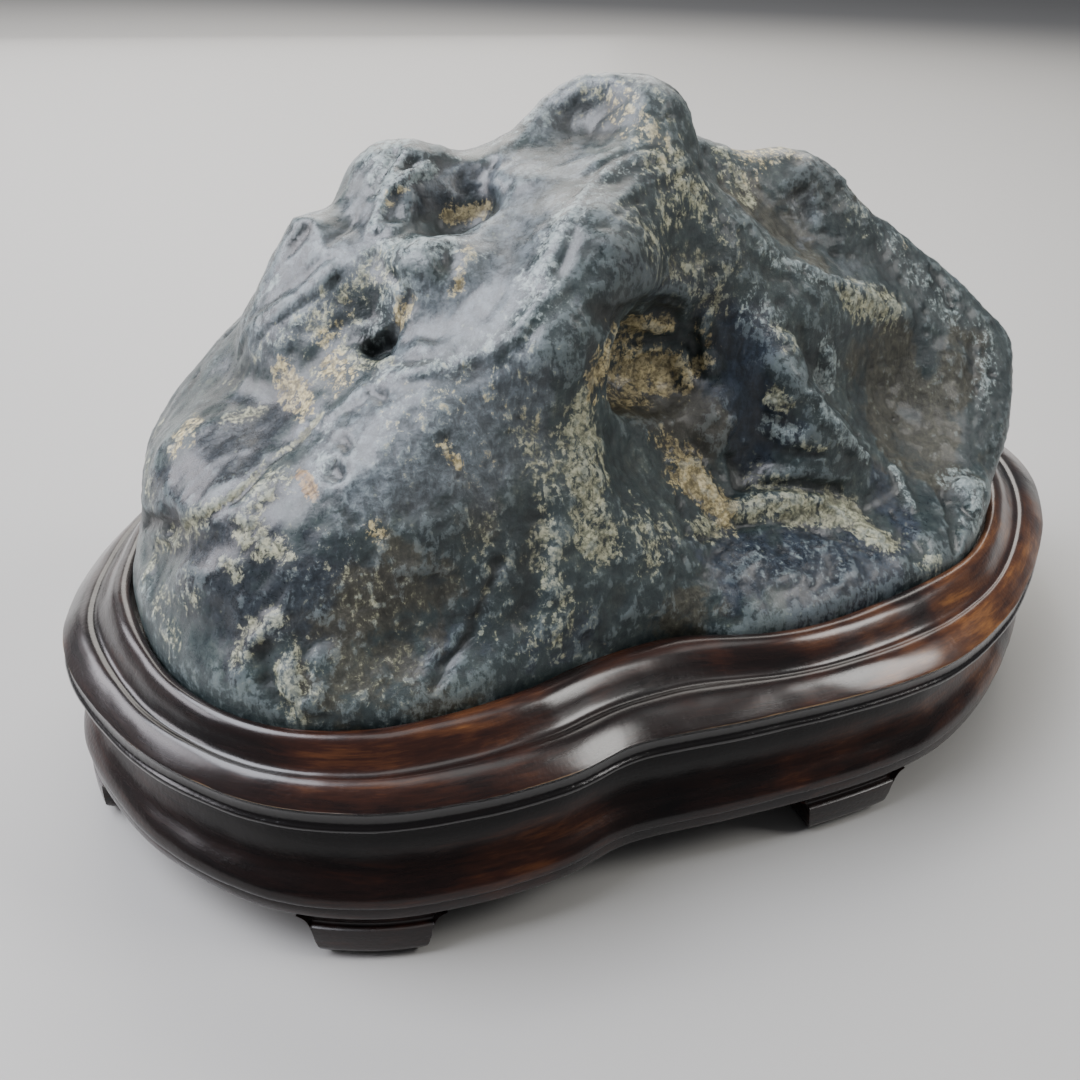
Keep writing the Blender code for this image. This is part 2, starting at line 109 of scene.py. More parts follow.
add_softbox("window", (-0.82, 0.12, 1.30), (1.05, 0.95), 37.0, (0.90, 0.92, 1.0))
add_softbox("back_wall", (0.30, 1.15, 1.05), (1.6, 1.2), 24.0, (1.0, 0.96, 0.90))
add_softbox("side_window", (-1.20, 0.36, 0.68), (1.2, 0.42), 12.5, (0.97, 0.94, 1.0))
add_softbox("far_wall", (-0.20, 1.25, 0.30), (1.4, 0.5), 3.0, (1.0, 0.975, 0.96))
add_softbox("right_lamp", (0.95, -0.42, 0.98), (0.45, 0.45), 8.5, (1.0, 0.98, 0.95))
add_softbox("ceiling", (0.15, -0.25, 1.8), (0.9, 0.9), 5.0, (1.0, 0.985, 0.96))
world = bpy.data.worlds.new("room")
world.use_nodes = True
world.node_tree.nodes["Background"].inputs["Color"].default_value = (0.92, 0.94, 1.0, 1.0)
world.node_tree.nodes["Background"].inputs["Strength"].default_value = 0.15
bpy.context.scene.world = world

# %% [markdown]
# ## Nodes, more briefly
#
# Materials are built from nodes. A node has settings and input sockets, and an input holds either
# a plain value or a link from another node. The small helper below makes one node with all of
# these at once, so that a material reads as a list of what is mixed with what.

# %% Helper for nodes
def add_node(tree, kind, inputs=None, **settings):
    """A shader node. inputs maps a socket's name or number to a value or to another output."""
    made = tree.nodes.new(kind)
    for name, value in settings.items():
        setattr(made, name, value)
    for name, value in (inputs or {}).items():
        socket = made.inputs[name]
        if isinstance(value, bpy.types.NodeSocket):
            tree.links.new(value, socket)
        elif hasattr(socket.default_value, "__len__") and len(socket.default_value) == 4:
            socket.default_value = (*value, 1.0)[:4]
        else:
            socket.default_value = value
    return made


def mask_of(tree, name):
    return add_node(tree, "ShaderNodeAttribute", attribute_name=name).outputs["Fac"]


def mix_colours(tree, share, first, second):
    """The first colour where share is 0 and the second where it is 1."""
    mixer = add_node(tree, "ShaderNodeMix", {0: share, 6: first, 7: second}, data_type="RGBA")
    return mixer.outputs[2]


def work_out(tree, operation, first, second, third=0.0, clamp=False):
    maths = add_node(tree, "ShaderNodeMath", {0: first, 1: second, 2: third},
                     operation=operation, use_clamp=clamp)
    return maths.outputs[0]


def between(tree, value, low, high):
    """0 where the value is low and 1 where it is high, with a smooth step from one to the other."""
    stretched = add_node(tree, "ShaderNodeMapRange", {0: value, 1: low, 2: high},
                         interpolation_type="SMOOTHSTEP")
    return stretched.outputs[0]


def cloud(tree, where, scale, detail, roughness, distortion=0.0):
    """Soft random noise, in cycles per metre."""
    made = add_node(tree, "ShaderNodeTexNoise",
                    {"Vector": where, "Scale": scale, "Detail": detail,
                     "Roughness": roughness, "Distortion": distortion})
    return made.outputs["Fac"]


def colour_ramp(tree, share, stops):
    """A colour chosen by share. stops are (place, colour) pairs."""
    ramp = add_node(tree, "ShaderNodeValToRGB", {0: share})
    bands = ramp.color_ramp.elements
    while len(bands) < len(stops):
        bands.new(0.5)
    for band, (place, colour) in zip(bands, stops):
        band.position = place
        band.color = (*colour, 1.0)
    return ramp.outputs["Color"]


def new_material(name):
    """A material with its Principled shader, ready for links."""
    material = bpy.data.materials.new(name)
    material.use_nodes = True
    return material, material.node_tree, material.node_tree.nodes["Principled BSDF"]


print("node helpers ready")

# %% Lay the floor
FLOOR_COLOUR = (0.42, 0.415, 0.40)
bpy.ops.mesh.primitive_plane_add(size=12.0, location=(0, 0, 0))
floor = bpy.context.object
floor.name = floor.data.name = "floor"
floor_paint, tree, shader = new_material("pale matt floor")
shader.inputs["Base Color"].default_value = (*FLOOR_COLOUR, 1.0)
shader.inputs["Roughness"].default_value = 0.5
floor.data.materials.append(floor_paint)
print("floor is", round(floor.dimensions.x, 1), "m wide")

# %% [markdown]
# ## The stone: a fine skin to sculpt
#
# The real stone is one piece, hard and dense, whose surface the water wore at every scale. Its
# solid has only the large forms. A copy of it is merged, since a loaded node is loose triangles,
# and remeshed with small even faces. Smoothing then takes the facets off, so that what is
# sculpted later sits on a clean surface.

# %% Make the skin
SKIN_VOXEL = 0.93 * MM
SKIN_SMOOTHING = 24

cad_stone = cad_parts["stone"]
stone = cad_stone.copy()
stone.data = cad_stone.data.copy()
stone.name = stone.data.name = "rock_sculpted"
for key in list(stone.keys()):
    del stone[key]
stone.parent = None
stone.data.materials.clear()
bpy.context.scene.collection.objects.link(stone)
bpy.ops.object.select_all(action="DESELECT")
stone.select_set(True)
bpy.context.view_layer.objects.active = stone

bpy.ops.object.mode_set(mode="EDIT")
bpy.ops.mesh.select_all(action="SELECT")
bpy.ops.mesh.remove_doubles(threshold=0.00001)
bpy.ops.mesh.customdata_custom_splitnormals_clear()
bpy.ops.object.mode_set(mode="OBJECT")

even = stone.modifiers.new("even faces", "REMESH")
even.mode = "VOXEL"
even.voxel_size = SKIN_VOXEL
bpy.ops.object.modifier_apply(modifier=even.name)
relax = stone.modifiers.new("no facets", "SMOOTH")
relax.factor = 0.5
relax.iterations = SKIN_SMOOTHING
bpy.ops.object.modifier_apply(modifier=relax.name)
print("skin:", len(stone.data.vertices), "points")

# %% [markdown]
# ## Brushes
#
# Sculpting by hand draws a brush along the surface, and the brush lifts or sinks the points under
# it along their normals, less and less towards its edge. The same is done here by number: a
# stroke has a radius, a height, negative where it digs, and a path of points on the stone. A
# little noise is added to each point's distance, so that no edge comes out as smooth as a tube.
#
# A sculptor places a stroke on what is in view, and so does this list. Each point is a dot of the
# camera's picture, across and down, in a picture 1080 dots wide and high. A ray goes from the
# camera through the dot, and the point lies where the ray first meets the solid. It is rounded to
# a tenth of a millimetre, far finer than any brush.

# %% Define the brushes
PICTURE_SIZE = 1080
PICTURE_DISTANCE = PICTURE_SIZE * FOCAL_LENGTH / SENSOR_WIDTH


def path_in_view(thing, dots):
    """Where the camera sees a thing at each dot, in millimetres. Dots beside it are left out."""
    path = []
    for across, down in dots:
        way = turn @ Vector((across - PICTURE_SIZE / 2, PICTURE_SIZE / 2 - down, -PICTURE_DISTANCE))
        met, spot, _, _ = thing.ray_cast(CAMERA_PLACE, way.normalized())
        if met:
            path.append([round(part / MM, 1) for part in spot])
    return np.array(path).reshape(-1, 3)


def points_of(thing):
    places = np.empty(len(thing.data.vertices) * 3)
    thing.data.vertices.foreach_get("co", places)
    return places.reshape(-1, 3)


def normals_of(thing):
    normals = np.empty(len(thing.data.vertices) * 3)
    thing.data.vertex_normals.foreach_get("vector", normals)
    return normals.reshape(-1, 3)


def move_points(thing, places):
    thing.data.vertices.foreach_set("co", places.ravel())
    thing.data.update()


def ripple(places, size, octaves):
    """Noise from -1 to 1 at each place, whose largest waves are about this size."""
    return np.array([noise.fractal(Vector(p), 1.0, 2.1, octaves) for p in places / size])


def distance_to_path(places, path):
    """How far each place is from a path of straight lengths."""
    nearest = np.full(len(places), np.inf)
    for start, end in zip(path, path[1:]):
        along = end - start
        share = (places - start) @ along / max(along @ along, 1e-12)
        foot = start + np.clip(share, 0, 1)[:, None] * along
        nearest = np.minimum(nearest, np.linalg.norm(places - foot, axis=1))
    return nearest


def brush_weight(places, path, radius, roughening):
    """1 under the middle of the stroke, falling to 0 at its radius."""
    distance = distance_to_path(places, path * MM) / (radius * MM)
    distance = np.maximum(distance + roughening, 0)
    return np.clip(1 - distance**2, 0, 1) ** 2


def paint(masks, strokes, thing, places, spread, roughening, fade):
    """Adds each stroke to its mask. A low fade keeps a stroke strong nearly to its edge."""
    for _, mask, radius, strength, dots in strokes:
        weight = brush_weight(places, path_in_view(thing, dots), radius * spread, roughening)
        masks[mask] = np.maximum(masks[mask], weight**fade * strength)


def share_of(values, full):
    """0 for nothing or less, 1 for the full amount or more."""
    return np.clip(values / full, 0, 1)


print("brushes ready")

# %% [markdown]
# ## Sculpting the forms
#
# These strokes follow the stone roughly from its left end to its right, and the last few go back
# over the hollow and the pit. On the left are dimples and grooves that run down the slope, then
# the deep pit with its raised rim, the pale boss below it, and a short groove that ends in a small
# hole. The spine has a stepped, knobbly crest. Under it are the cracked front face and the hollow
# with its lumps, and on the right are the crust, the knobs beside the bowl and the ridge above it.
# A stroke that goes over another follows the shape that the first one left, so their order counts.

# %% List the carving strokes
# Name, radius, height, and the dots of the path.
CARVING = [
    ("skyline dimple", 1.8, -1, [(401, 162), (411, 160)]),
    ("skyline fold", 2, -0.9, [(372, 190), (382, 170), (396, 150)]),
    ("left dimple", 1.5, -0.6, [(306, 226), (298, 236), (290, 248)]),
    ("left dimple rim", 1.6, 0.6, [(296, 218), (310, 221), (318, 230)]),
    ("limb dimple high", 1.6, -0.8, [(190, 382), (196, 374)]),
    ("limb dimple mid", 1.8, -0.9, [(226, 336), (236, 326)]),
    ("slope groove a", 1.4, -0.3, [(318, 262), (290, 286), (262, 312)]),
    ("slope groove b", 1.3, -0.25, [(306, 300), (280, 318), (254, 344)]),
    ("slope groove c", 1.5, -0.6, [(330, 240), (352, 222)]),
    ("slope ridge a", 1.6, 0.6, [(330, 270), (296, 300), (260, 330)]),
    ("slope ridge b", 1.5, 0.5, [(284, 300), (262, 316), (240, 340)]),
    ("pit rim left", 1.6, 0.9, [(376, 228), (379, 206), (386, 190), (405, 178), (430, 166)]),
    ("pit rim front", 2.2, 0.7, [(390, 232), (430, 232), (480, 226)]),
    ("pale boss", 4.8, 1.3, [(404, 256), (424, 252)]),
    ("boss dent", 2.4, -1.2, [(444, 252), (450, 262)]),
    ("boss foot", 2.4, -0.8, [(404, 282), (386, 272), (374, 256)]),
    ("groove", 2, -1.1, [(408, 298), (401, 314), (394, 332)]),
    ("hole", 2, -3.6, [(371, 349), (386, 346)]),
    ("hole rim", 1.6, 0.6, [(354, 352), (368, 362), (388, 362)]),
    ("rim beyond hole", 2, 0.6, [(398, 352), (424, 350)]),
    ("spine step a", 2, 0.5, [(560, 284), (538, 306), (524, 322)]),
    ("spine step b", 1.8, 0.45, [(516, 334), (488, 350), (456, 362)]),
    ("spine step c", 1.6, 0.4, [(440, 366), (410, 372), (384, 374)]),
    ("spine step d", 1.6, 0.5, [(360, 390), (342, 406), (326, 420)]),
    ("spine lee", 2.2, -0.35, [(540, 324), (506, 358), (460, 378), (400, 388), (350, 410)]),
    ("face pits a", 2, -1.2, [(340, 438), (348, 444)]),
    ("face pits b", 1.8, -1.1, [(332, 468), (336, 476)]),
    ("face pits c", 1.5, -0.8, [(372, 392), (380, 396)]),
    ("face pits d", 1.5, -0.7, [(346, 514), (352, 520)]),
    ("vein groove", 1.4, -0.6, [(318, 418), (300, 440), (272, 460), (250, 484), (226, 503),
     (203, 518), (180, 533), (160, 530)]),
    ("left notch", 2.4, -1.6, [(144, 518), (156, 524), (172, 524)]),
    ("patch ridge", 2.2, 0.5, [(282, 470), (262, 492), (244, 516)]),
    ("swirl groove", 2.2, -1.2, [(262, 656), (266, 676), (276, 694), (286, 708)]),
    ("swirl ridge", 2, 0.8, [(243, 652), (256, 636), (274, 622), (288, 640), (290, 676), (294, 706)]),
    ("swirl right ridge", 2.2, 0.6, [(318, 650), (326, 676), (312, 700)]),
    ("crack", 0.9, -0.9, [(500, 560), (486, 590), (478, 612), (466, 640), (446, 662), (432, 690)]),
    ("face fold a", 3, -0.8, [(540, 520), (536, 560), (524, 620)]),
    ("face fold b", 3.5, 0.7, [(556, 500), (556, 560), (548, 620)]),
    ("face hollow a", 6, -0.9, [(430, 610), (400, 640)]),
    ("face swell", 7, 0.8, [(450, 520), (410, 560)]),
    ("face swell b", 6, 0.7, [(350, 640), (340, 680)]),
    ("low fold", 3, -0.8, [(620, 600), (600, 640)]),
    ("summit dent", 6, -0.5, [(580, 126), (604, 134)]),
    ("summit ridge", 2.2, 0.4, [(560, 100), (580, 86), (610, 78)]),
    ("ridge fold a", 1.6, 0.4, [(648, 154), (616, 166), (590, 184), (572, 210)]),
    ("ridge fold b", 1.6, -0.4, [(660, 148), (630, 152), (596, 170), (574, 194)]),
    ("ridge fold c", 1.8, 0.4, [(690, 160), (672, 172), (650, 178), (620, 196)]),
    ("ridge fold d", 1.6, -0.35, [(684, 172), (660, 186), (630, 204), (604, 224)]),
    ("ridge step", 2, 0.5, [(566, 220), (552, 248), (540, 276)]),
    ("ridge step b", 1.6, -0.35, [(580, 226), (566, 252), (556, 280)]),
    ("brow swell", 6, 0.9, [(620, 262), (650, 280), (690, 286)]),
    ("hollow roof", 3.6, -1.6, [(606, 316), (634, 308), (668, 318)]),
    ("hollow lump", 2.4, 1.6, [(646, 324), (658, 326)]),
    ("hollow crack a", 1.3, -1.2, [(610, 340), (602, 366), (606, 392)]),
    ("hollow ledge", 2.6, 1, [(612, 352), (640, 350), (672, 346)]),
    ("hollow crack b", 1.1, -1, [(614, 346), (640, 343), (672, 338)]),
    ("hollow knob a", 2, 1.6, [(703, 312), (704, 336)]),
    ("hollow knob b", 2, 1.3, [(684, 358), (688, 380)]),
    ("hollow knob c", 2.2, 1.3, [(708, 352), (712, 362)]),
    ("hollow slot", 1.2, -0.7, [(696, 318), (694, 350), (697, 378)]),
    ("recess", 5, -0.4, [(650, 404), (684, 416)]),
    ("recess deep", 2.2, -1.2, [(724, 452), (734, 468), (742, 482)]),
    ("crust a", 3.4, 1, [(684, 466), (700, 484), (722, 506)]),
    ("crust b", 2.8, 1.1, [(738, 508), (770, 500), (806, 504)]),
    ("crust c", 3.4, 1.3, [(824, 508), (852, 520), (880, 540)]),
    ("crust lip", 1.6, -0.8, [(700, 538), (740, 526), (790, 520), (830, 536), (868, 552)]),
    ("crust groove", 1.6, -1, [(760, 486), (800, 484), (840, 490)]),
    ("terrace lip", 1.8, 0.6, [(770, 472), (810, 470), (850, 478)]),
    ("wall lump a", 3, 1.1, [(768, 312), (778, 318)]),
    ("wall lump b", 2.8, 1.1, [(780, 338), (790, 344)]),
    ("wall lump c", 2.6, 1.2, [(828, 356), (830, 370)]),
    ("wall lump d", 3, 1, [(778, 402), (786, 410)]),
    ("wall lump e", 2.8, 0.9, [(776, 428), (792, 436)]),
    ("wall groove", 1.6, -0.9, [(800, 330), (806, 360), (812, 384)]),
    ("rust ledge", 1.2, -0.9, [(796, 454), (812, 456), (828, 456)]),
    ("right streak", 1.8, 1.1, [(812, 392), (828, 416), (846, 440), (866, 458)]),
    ("right streak lee", 1.8, -0.7, [(822, 388), (840, 412), (858, 434)]),
    ("right ridge", 2.2, 0.9, [(748, 222), (764, 246), (792, 262), (822, 278), (850, 286)]),
    ("right ridge lee", 2, -0.6, [(740, 236), (756, 262), (786, 282), (816, 300)]),
    ("patch lump a", 3.4, 1, [(852, 292), (874, 298)]),
    ("patch lump b", 3, 0.8, [(892, 306), (906, 318)]),
    ("shoulder dent", 4.5, -1.2, [(800, 200), (806, 214)]),
    ("shoulder lump", 4, 0.9, [(812, 166), (836, 180)]),
    ("right limb a", 3, -0.8, [(936, 276), (950, 300)]),
    ("right limb b", 3, 0.7, [(962, 296), (984, 320)]),
    ("right limb c", 3.4, -0.7, [(976, 350), (974, 390)]),
    ("right boss", 3.6, 1.2, [(966, 486), (974, 506)]),
    ("right boss lee", 2.2, -1, [(944, 494), (954, 520), (958, 546)]),
    ("right short ridge", 1.5, 0.8, [(892, 468), (904, 492), (910, 508)]),
    ("right foot dent", 4, -0.8, [(900, 540), (916, 552)]),
    ("skirt swell", 8, 0.9, [(760, 566), (830, 560)]),
    ("skirt dent", 5, -0.7, [(700, 600), (720, 610)]),
    ("second filling", 5.5, 1.8, [(706, 440), (726, 452)]),
    ("pit upper wall", 4, -0.9, [(424, 184), (450, 172), (480, 174)]),
    ("pit shallow", 3, -0.9, [(396, 190), (398, 210)]),
]
print(len(CARVING), "carving strokes")

# %% Carve the forms
CARVE_SPREAD = 1.15

raggedness = 0.6 * ripple(points_of(stone), 5 * MM, 3)
for _, radius, height, dots in CARVING:
    places = points_of(stone)
    path = path_in_view(cad_stone, dots)
    weight = brush_weight(places, path, radius * CARVE_SPREAD, raggedness)
    touched = weight > 0
    places[touched] += normals_of(stone)[touched] * (weight[touched] * height * MM)[:, None]
    move_points(stone, places)
print("carved; stone is", tuple(round(v / MM, 1) for v in stone.dimensions), "mm")

# %% [markdown]
# ## Painting masks
#
# Colour on this stone isn't even. Cream and yellow-green crusts sit in some places, ochre fills
# the hollows, the wall and the skirt are navy, and the bowl is brown. Some masks paint light
# instead: grey painted sheen on the faces that catch the window, painted highlights mixed into the
# pale crusts on the ridges and bosses, and painted shade in the holes, cracks and recesses. Each of
# these is painted as a mask, a number on every point, with the same brushes. The material later
# breaks the soft edge of a mask into fine islands, so a mask only has to say about where a colour
# is.

# %% List the painting strokes
# Name, mask, radius, strength, and the dots of the path.
PAINTING = [
    ("pit floor", "ochre", 2.2, 1, [(450, 217), (468, 214), (487, 208)]),
    ("pit rim left", "pale", 1.4, 0.8, [(375, 228), (379, 206), (386, 190), (405, 178), (432, 164)]),
    ("pit rim front", "pale", 1.8, 0.4, [(385, 232), (430, 236), (480, 228)]),
    # Painted highlights on the skyline boss and along the saddle, in the pale mask.
    ("skyline boss top", "pale", 4.5, 0.8, [(372, 150), (392, 152), (382, 172)]),
    ("saddle highlight", "pale", 3, 0.45, [(455, 152), (500, 138), (540, 112)]),
    ("boss cap", "pale", 5.5, 0.85, [(396, 250), (416, 247), (440, 245)]),
    ("below boss", "cream", 5, 0.5, [(388, 268), (368, 285), (346, 306), (330, 330)]),
    ("below boss right", "pale", 4.5, 0.55, [(400, 282), (382, 306), (362, 338)]),
    ("ochre beside boss", "ochre", 1.8, 0.75, [(467, 246), (464, 262), (456, 286)]),
    ("groove", "ochre", 1.9, 0.9, [(407, 300), (401, 314), (395, 330)]),
    ("hole rim", "cream", 1.8, 0.8, [(348, 350), (362, 362), (386, 364)]),
    ("ochre patch a", "ochre", 3.4, 0.75, [(282, 368), (290, 386), (304, 406)]),
    ("ochre patch b", "ochre", 3.2, 0.7, [(332, 366), (340, 384)]),
    ("slate mottle", "cream", 4, 0.4, [(325, 330), (300, 352), (318, 372)]),
    ("ochre patch c", "ochre", 3, 0.8, [(188, 422), (178, 446)]),
    ("patch d", "cream", 2.4, 0.7, [(230, 416), (256, 410)]),
    ("vein", "cream", 0.9, 1, [(320, 415), (300, 438), (272, 458), (250, 481), (226, 500), (203, 514),
     (180, 530)]),
    ("vein low", "cream", 2.6, 0.6, [(203, 520), (180, 532), (158, 545), (148, 575)]),
    ("patch e", "cream", 3.2, 0.7, [(278, 474), (258, 494), (240, 518), (256, 545), (284, 556)]),
    ("orange fleck", "rust", 1.1, 1, [(300, 474), (308, 486), (314, 496)]),
    ("pale band", "pale", 3, 0.4, [(330, 424), (326, 450), (324, 476)]),
    ("left limb", "cream", 2.4, 0.45, [(155, 430), (146, 462), (150, 500)]),
    ("limb low", "pale", 2.6, 0.4, [(160, 545), (146, 575), (150, 600)]),
    ("fleck a", "cream", 1.8, 0.8, [(228, 566), (236, 572)]),
    ("fleck b", "cream", 2.4, 0.6, [(190, 592), (196, 602)]),
    ("swirl", "cream", 2.6, 0.6, [(241, 655), (252, 636), (274, 620), (286, 640), (288, 676),
     (293, 712)]),
    ("swirl right", "cream", 2.6, 0.4, [(320, 645), (322, 672), (310, 690)]),
    ("gold fleck a", "ochre", 1.7, 0.8, [(441, 444), (454, 460)]),
    ("gold fleck b", "ochre", 2, 0.55, [(374, 524), (380, 534)]),
    ("face brown a", "brown", 13, 0.7, [(400, 580), (372, 640)]),
    ("face brown b", "brown", 9, 0.6, [(352, 690), (384, 712), (430, 712)]),
    ("brow gold", "cream", 3.4, 0.5, [(520, 428), (540, 470), (538, 506)]),
    ("fold a", "cream", 4, 0.6, [(545, 500), (548, 545), (556, 586), (562, 640)]),
    ("fold b", "cream", 5, 0.8, [(580, 410), (586, 462), (594, 508), (600, 540)]),
    ("fold c", "cream", 4.5, 0.5, [(628, 520), (664, 524), (650, 560)]),
    ("hollow floor", "ochre", 6, 1, [(606, 366), (632, 372), (662, 366)]),
    ("hollow edge", "ochre", 2.6, 0.8, [(712, 356), (700, 364)]),
    ("hollow lump", "ochre", 2.8, 0.9, [(640, 322), (664, 326)]),
    ("hollow knob", "ochre", 2.2, 0.7, [(702, 320), (706, 342)]),
    # Painted shade under the hollow's roof and down its side.
    ("hollow roof", "dark", 3, 0.8, [(606, 312), (636, 305), (676, 310)]),
    ("hollow side", "dark", 1.6, 0.7, [(594, 340), (592, 370), (594, 392)]),
    ("recess", "brown", 8, 0.9, [(630, 408), (668, 416), (700, 430)]),
    # Painted shade deep in the recess.
    ("recess deep", "dark", 2.2, 0.5, [(724, 452), (734, 468), (742, 484)]),
    ("crust ochre", "ochre", 4.5, 1, [(682, 470), (704, 490), (722, 512)]),
    ("crust a", "cream", 3.4, 0.9, [(700, 528), (738, 516), (766, 510)]),
    ("crust b", "cream", 4.2, 1, [(790, 508), (826, 508), (856, 520), (884, 540)]),
    ("crust c", "cream", 3.2, 0.55, [(756, 482), (776, 488)]),
    ("summit ochre", "ochre", 5, 0.5, [(622, 104), (640, 122), (652, 132)]),
    ("summit green", "cream", 6, 0.4, [(590, 92), (640, 84), (664, 104)]),
    # Painted shade in the dip below the summit.
    ("dip dark", "dark", 5, 0.45, [(572, 124), (600, 132)]),
    # Painted highlights along the ridge, in the pale mask.
    ("ridge high", "pale", 3, 0.5, [(648, 156), (616, 168), (590, 186), (570, 212)]),
    ("ridge mid", "pale", 3.2, 0.6, [(568, 216), (552, 246), (540, 272), (536, 300)]),
    ("ridge low", "pale", 3, 0.5, [(530, 306), (512, 332), (486, 350), (440, 366), (384, 374)]),
    ("ridge face", "pale", 4, 0.3, [(548, 296), (520, 340), (480, 372)]),
    ("ridge mottle a", "cream", 7, 0.6, [(668, 168), (690, 190), (668, 216)]),
    ("ridge mottle b", "cream", 7, 0.5, [(640, 210), (652, 240), (690, 270), (712, 290)]),
    ("ridge mottle c", "cream", 5, 0.45, [(700, 200), (726, 236)]),
    ("saddle streak", "cream", 2.6, 0.8, [(722, 150), (734, 170), (746, 198)]),
    ("saddle brown", "brown", 8, 0.9, [(750, 205), (780, 232), (800, 252)]),
    ("shoulder edge", "pale", 3, 0.45, [(837, 170), (856, 200), (872, 222)]),
    ("right ridge line", "pale", 2.4, 0.6, [(762, 246), (790, 262), (820, 278), (850, 290)]),
    ("right patch a", "cream", 4.5, 0.8, [(845, 296), (870, 302), (892, 312)]),
    ("right patch b", "pale", 4.5, 0.5, [(752, 306), (776, 320)]),
    ("right patch c", "cream", 3.4, 0.6, [(780, 334), (792, 346)]),
    ("right patch d", "pale", 3, 0.8, [(826, 350), (832, 370), (824, 382)]),
    ("right patch e", "cream", 2.6, 1, [(778, 396), (784, 402)]),
    ("right patch f", "pale", 3, 0.7, [(776, 424), (792, 438)]),
    ("right streak", "pale", 1.8, 0.7, [(812, 394), (828, 416), (846, 440), (864, 456)]),
    ("rust fleck", "cream", 1.2, 0.9, [(800, 447), (822, 450)]),
    ("bowl brown", "brown", 15, 0.85, [(880, 370), (890, 410), (915, 440)]),
    ("bowl rust", "brown", 7, 0.9, [(920, 400), (940, 430), (966, 346)]),
    ("right mint a", "pale", 5, 0.5, [(892, 250), (920, 280), (950, 312)]),
    ("right mint b", "pale", 5, 0.45, [(978, 330), (990, 360), (986, 396)]),
    ("right boss", "pale", 4.5, 0.9, [(964, 482), (974, 500), (978, 524)]),
    ("right short line", "pale", 1.6, 0.9, [(892, 468), (904, 492), (910, 508)]),
    ("right low", "cream", 2.6, 0.6, [(922, 570), (940, 560)]),
    ("navy wall", "navy", 10, 1, [(738, 350), (744, 390), (752, 430)]),
    ("navy brow", "navy", 6, 0.6, [(620, 260), (660, 288), (700, 300)]),
    ("navy skirt", "navy", 10, 1, [(742, 560), (790, 556), (836, 566), (880, 560)]),
    ("navy skirt low", "navy", 7, 0.8, [(800, 596), (860, 590)]),
    ("navy ledge", "navy", 5, 0.8, [(880, 486), (900, 520)]),
    ("navy front", "navy", 7, 0.6, [(440, 654), (470, 630)]),
    ("navy foot", "navy", 8, 0.5, [(520, 670), (580, 640)]),
    ("slate lobe", "slate", 11, 1, [(262, 420), (214, 470), (180, 500)]),
    ("slate low", "slate", 11, 1, [(236, 534), (200, 560), (250, 600), (330, 590)]),
    # Painted sheen: these grey strokes lighten the slopes that face the window.
    ("slope sheen", "grey", 14, 0.8, [(330, 240), (300, 290), (266, 330)]),
    ("top sheen", "grey", 15, 0.8, [(520, 200), (470, 290), (420, 330)]),
    ("pit side sheen", "grey", 8, 0.6, [(520, 160), (560, 150)]),
    ("slate floor", "slate", 7, 0.8, [(650, 404), (690, 416)]),
    ("brown low a", "brown", 6, 0.7, [(690, 604), (676, 622)]),
    ("brown face", "brown", 8, 0.4, [(430, 480), (480, 520)]),
    # Painted shade in the band on the left, the hole, the dimples, the crack, the notch and the face
    # pits.
    ("dark band", "dark", 4, 0.45, [(262, 364), (232, 372), (214, 390), (206, 410)]),
    ("dark hole", "dark", 2.4, 1, [(370, 349), (386, 346)]),
    ("boss underside", "navy", 3, 0.8, [(442, 252), (448, 266)]),
    ("skyline dimple", "dark", 1.6, 0.8, [(401, 162), (410, 160)]),
    ("left dimple", "dark", 1.4, 0.6, [(306, 226), (298, 236), (290, 248)]),
    ("crack", "dark", 0.8, 0.8, [(500, 560), (486, 590), (478, 612), (466, 640), (446, 662),
     (432, 690)]),
    ("limb dimples", "dark", 1.8, 0.8, [(190, 384), (196, 376)]),
    ("left notch", "dark", 2.2, 0.8, [(143, 520), (160, 523), (174, 524)]),
    ("face pits", "dark", 2.4, 0.7, [(338, 436), (346, 446)]),
    # Painted sheen on the near face, the summit, the brow and the shoulder.
    ("face sheen a", "grey", 11, 1, [(350, 430), (430, 412), (500, 395)]),
    ("face sheen b", "grey", 9, 0.9, [(360, 480), (430, 462), (490, 440)]),
    ("left low sheen", "grey", 5, 0.3, [(160, 570), (170, 600)]),
    ("summit sheen", "grey", 8, 0.6, [(560, 100), (600, 86), (640, 80)]),
    ("brow sheen", "grey", 8, 0.4, [(600, 210), (640, 190)]),
    ("shoulder sheen", "grey", 9, 0.4, [(800, 200), (830, 250), (900, 260)]),
    ("pit shallow", "ochre", 1.6, 0.5, [(400, 188), (390, 200)]),
    ("valley gold", "cream", 3.6, 0.6, [(724, 160), (740, 190)]),
    ("pit wall", "slate", 6, 0.9, [(424, 190), (450, 182), (480, 188)]),
    ("left slope cream", "cream", 3, 0.4, [(230, 384), (262, 346), (300, 330)]),
    ("face flecks a", "cream", 9, 0.3, [(420, 430), (470, 400), (520, 380)]),
    ("face flecks b", "ochre", 8, 0.22, [(400, 400), (470, 400), (500, 440)]),
    ("face flecks c", "cream", 8, 0.3, [(480, 540), (500, 620), (560, 640)]),
    ("face flecks d", "cream", 9, 0.28, [(330, 560), (390, 600), (380, 690)]),
    ("left limb low", "cream", 3.4, 0.5, [(170, 640), (160, 600), (190, 596)]),
    ("hollow wall", "cream", 3, 0.7, [(586, 400), (598, 450), (606, 480)]),
    ("under shelf", "ochre", 2.4, 0.6, [(656, 440), (690, 448)]),
    ("navy pale", "pale", 7, 0.3, [(760, 560), (820, 570)]),
    # Painted shade darkening the face, brow, shoulder, recess, lobes and skirt.
    ("face deep a", "dark", 9, 0.35, [(440, 530), (500, 520), (530, 470)]),
    ("brow deep", "dark", 7, 0.4, [(610, 250), (650, 280), (720, 270)]),
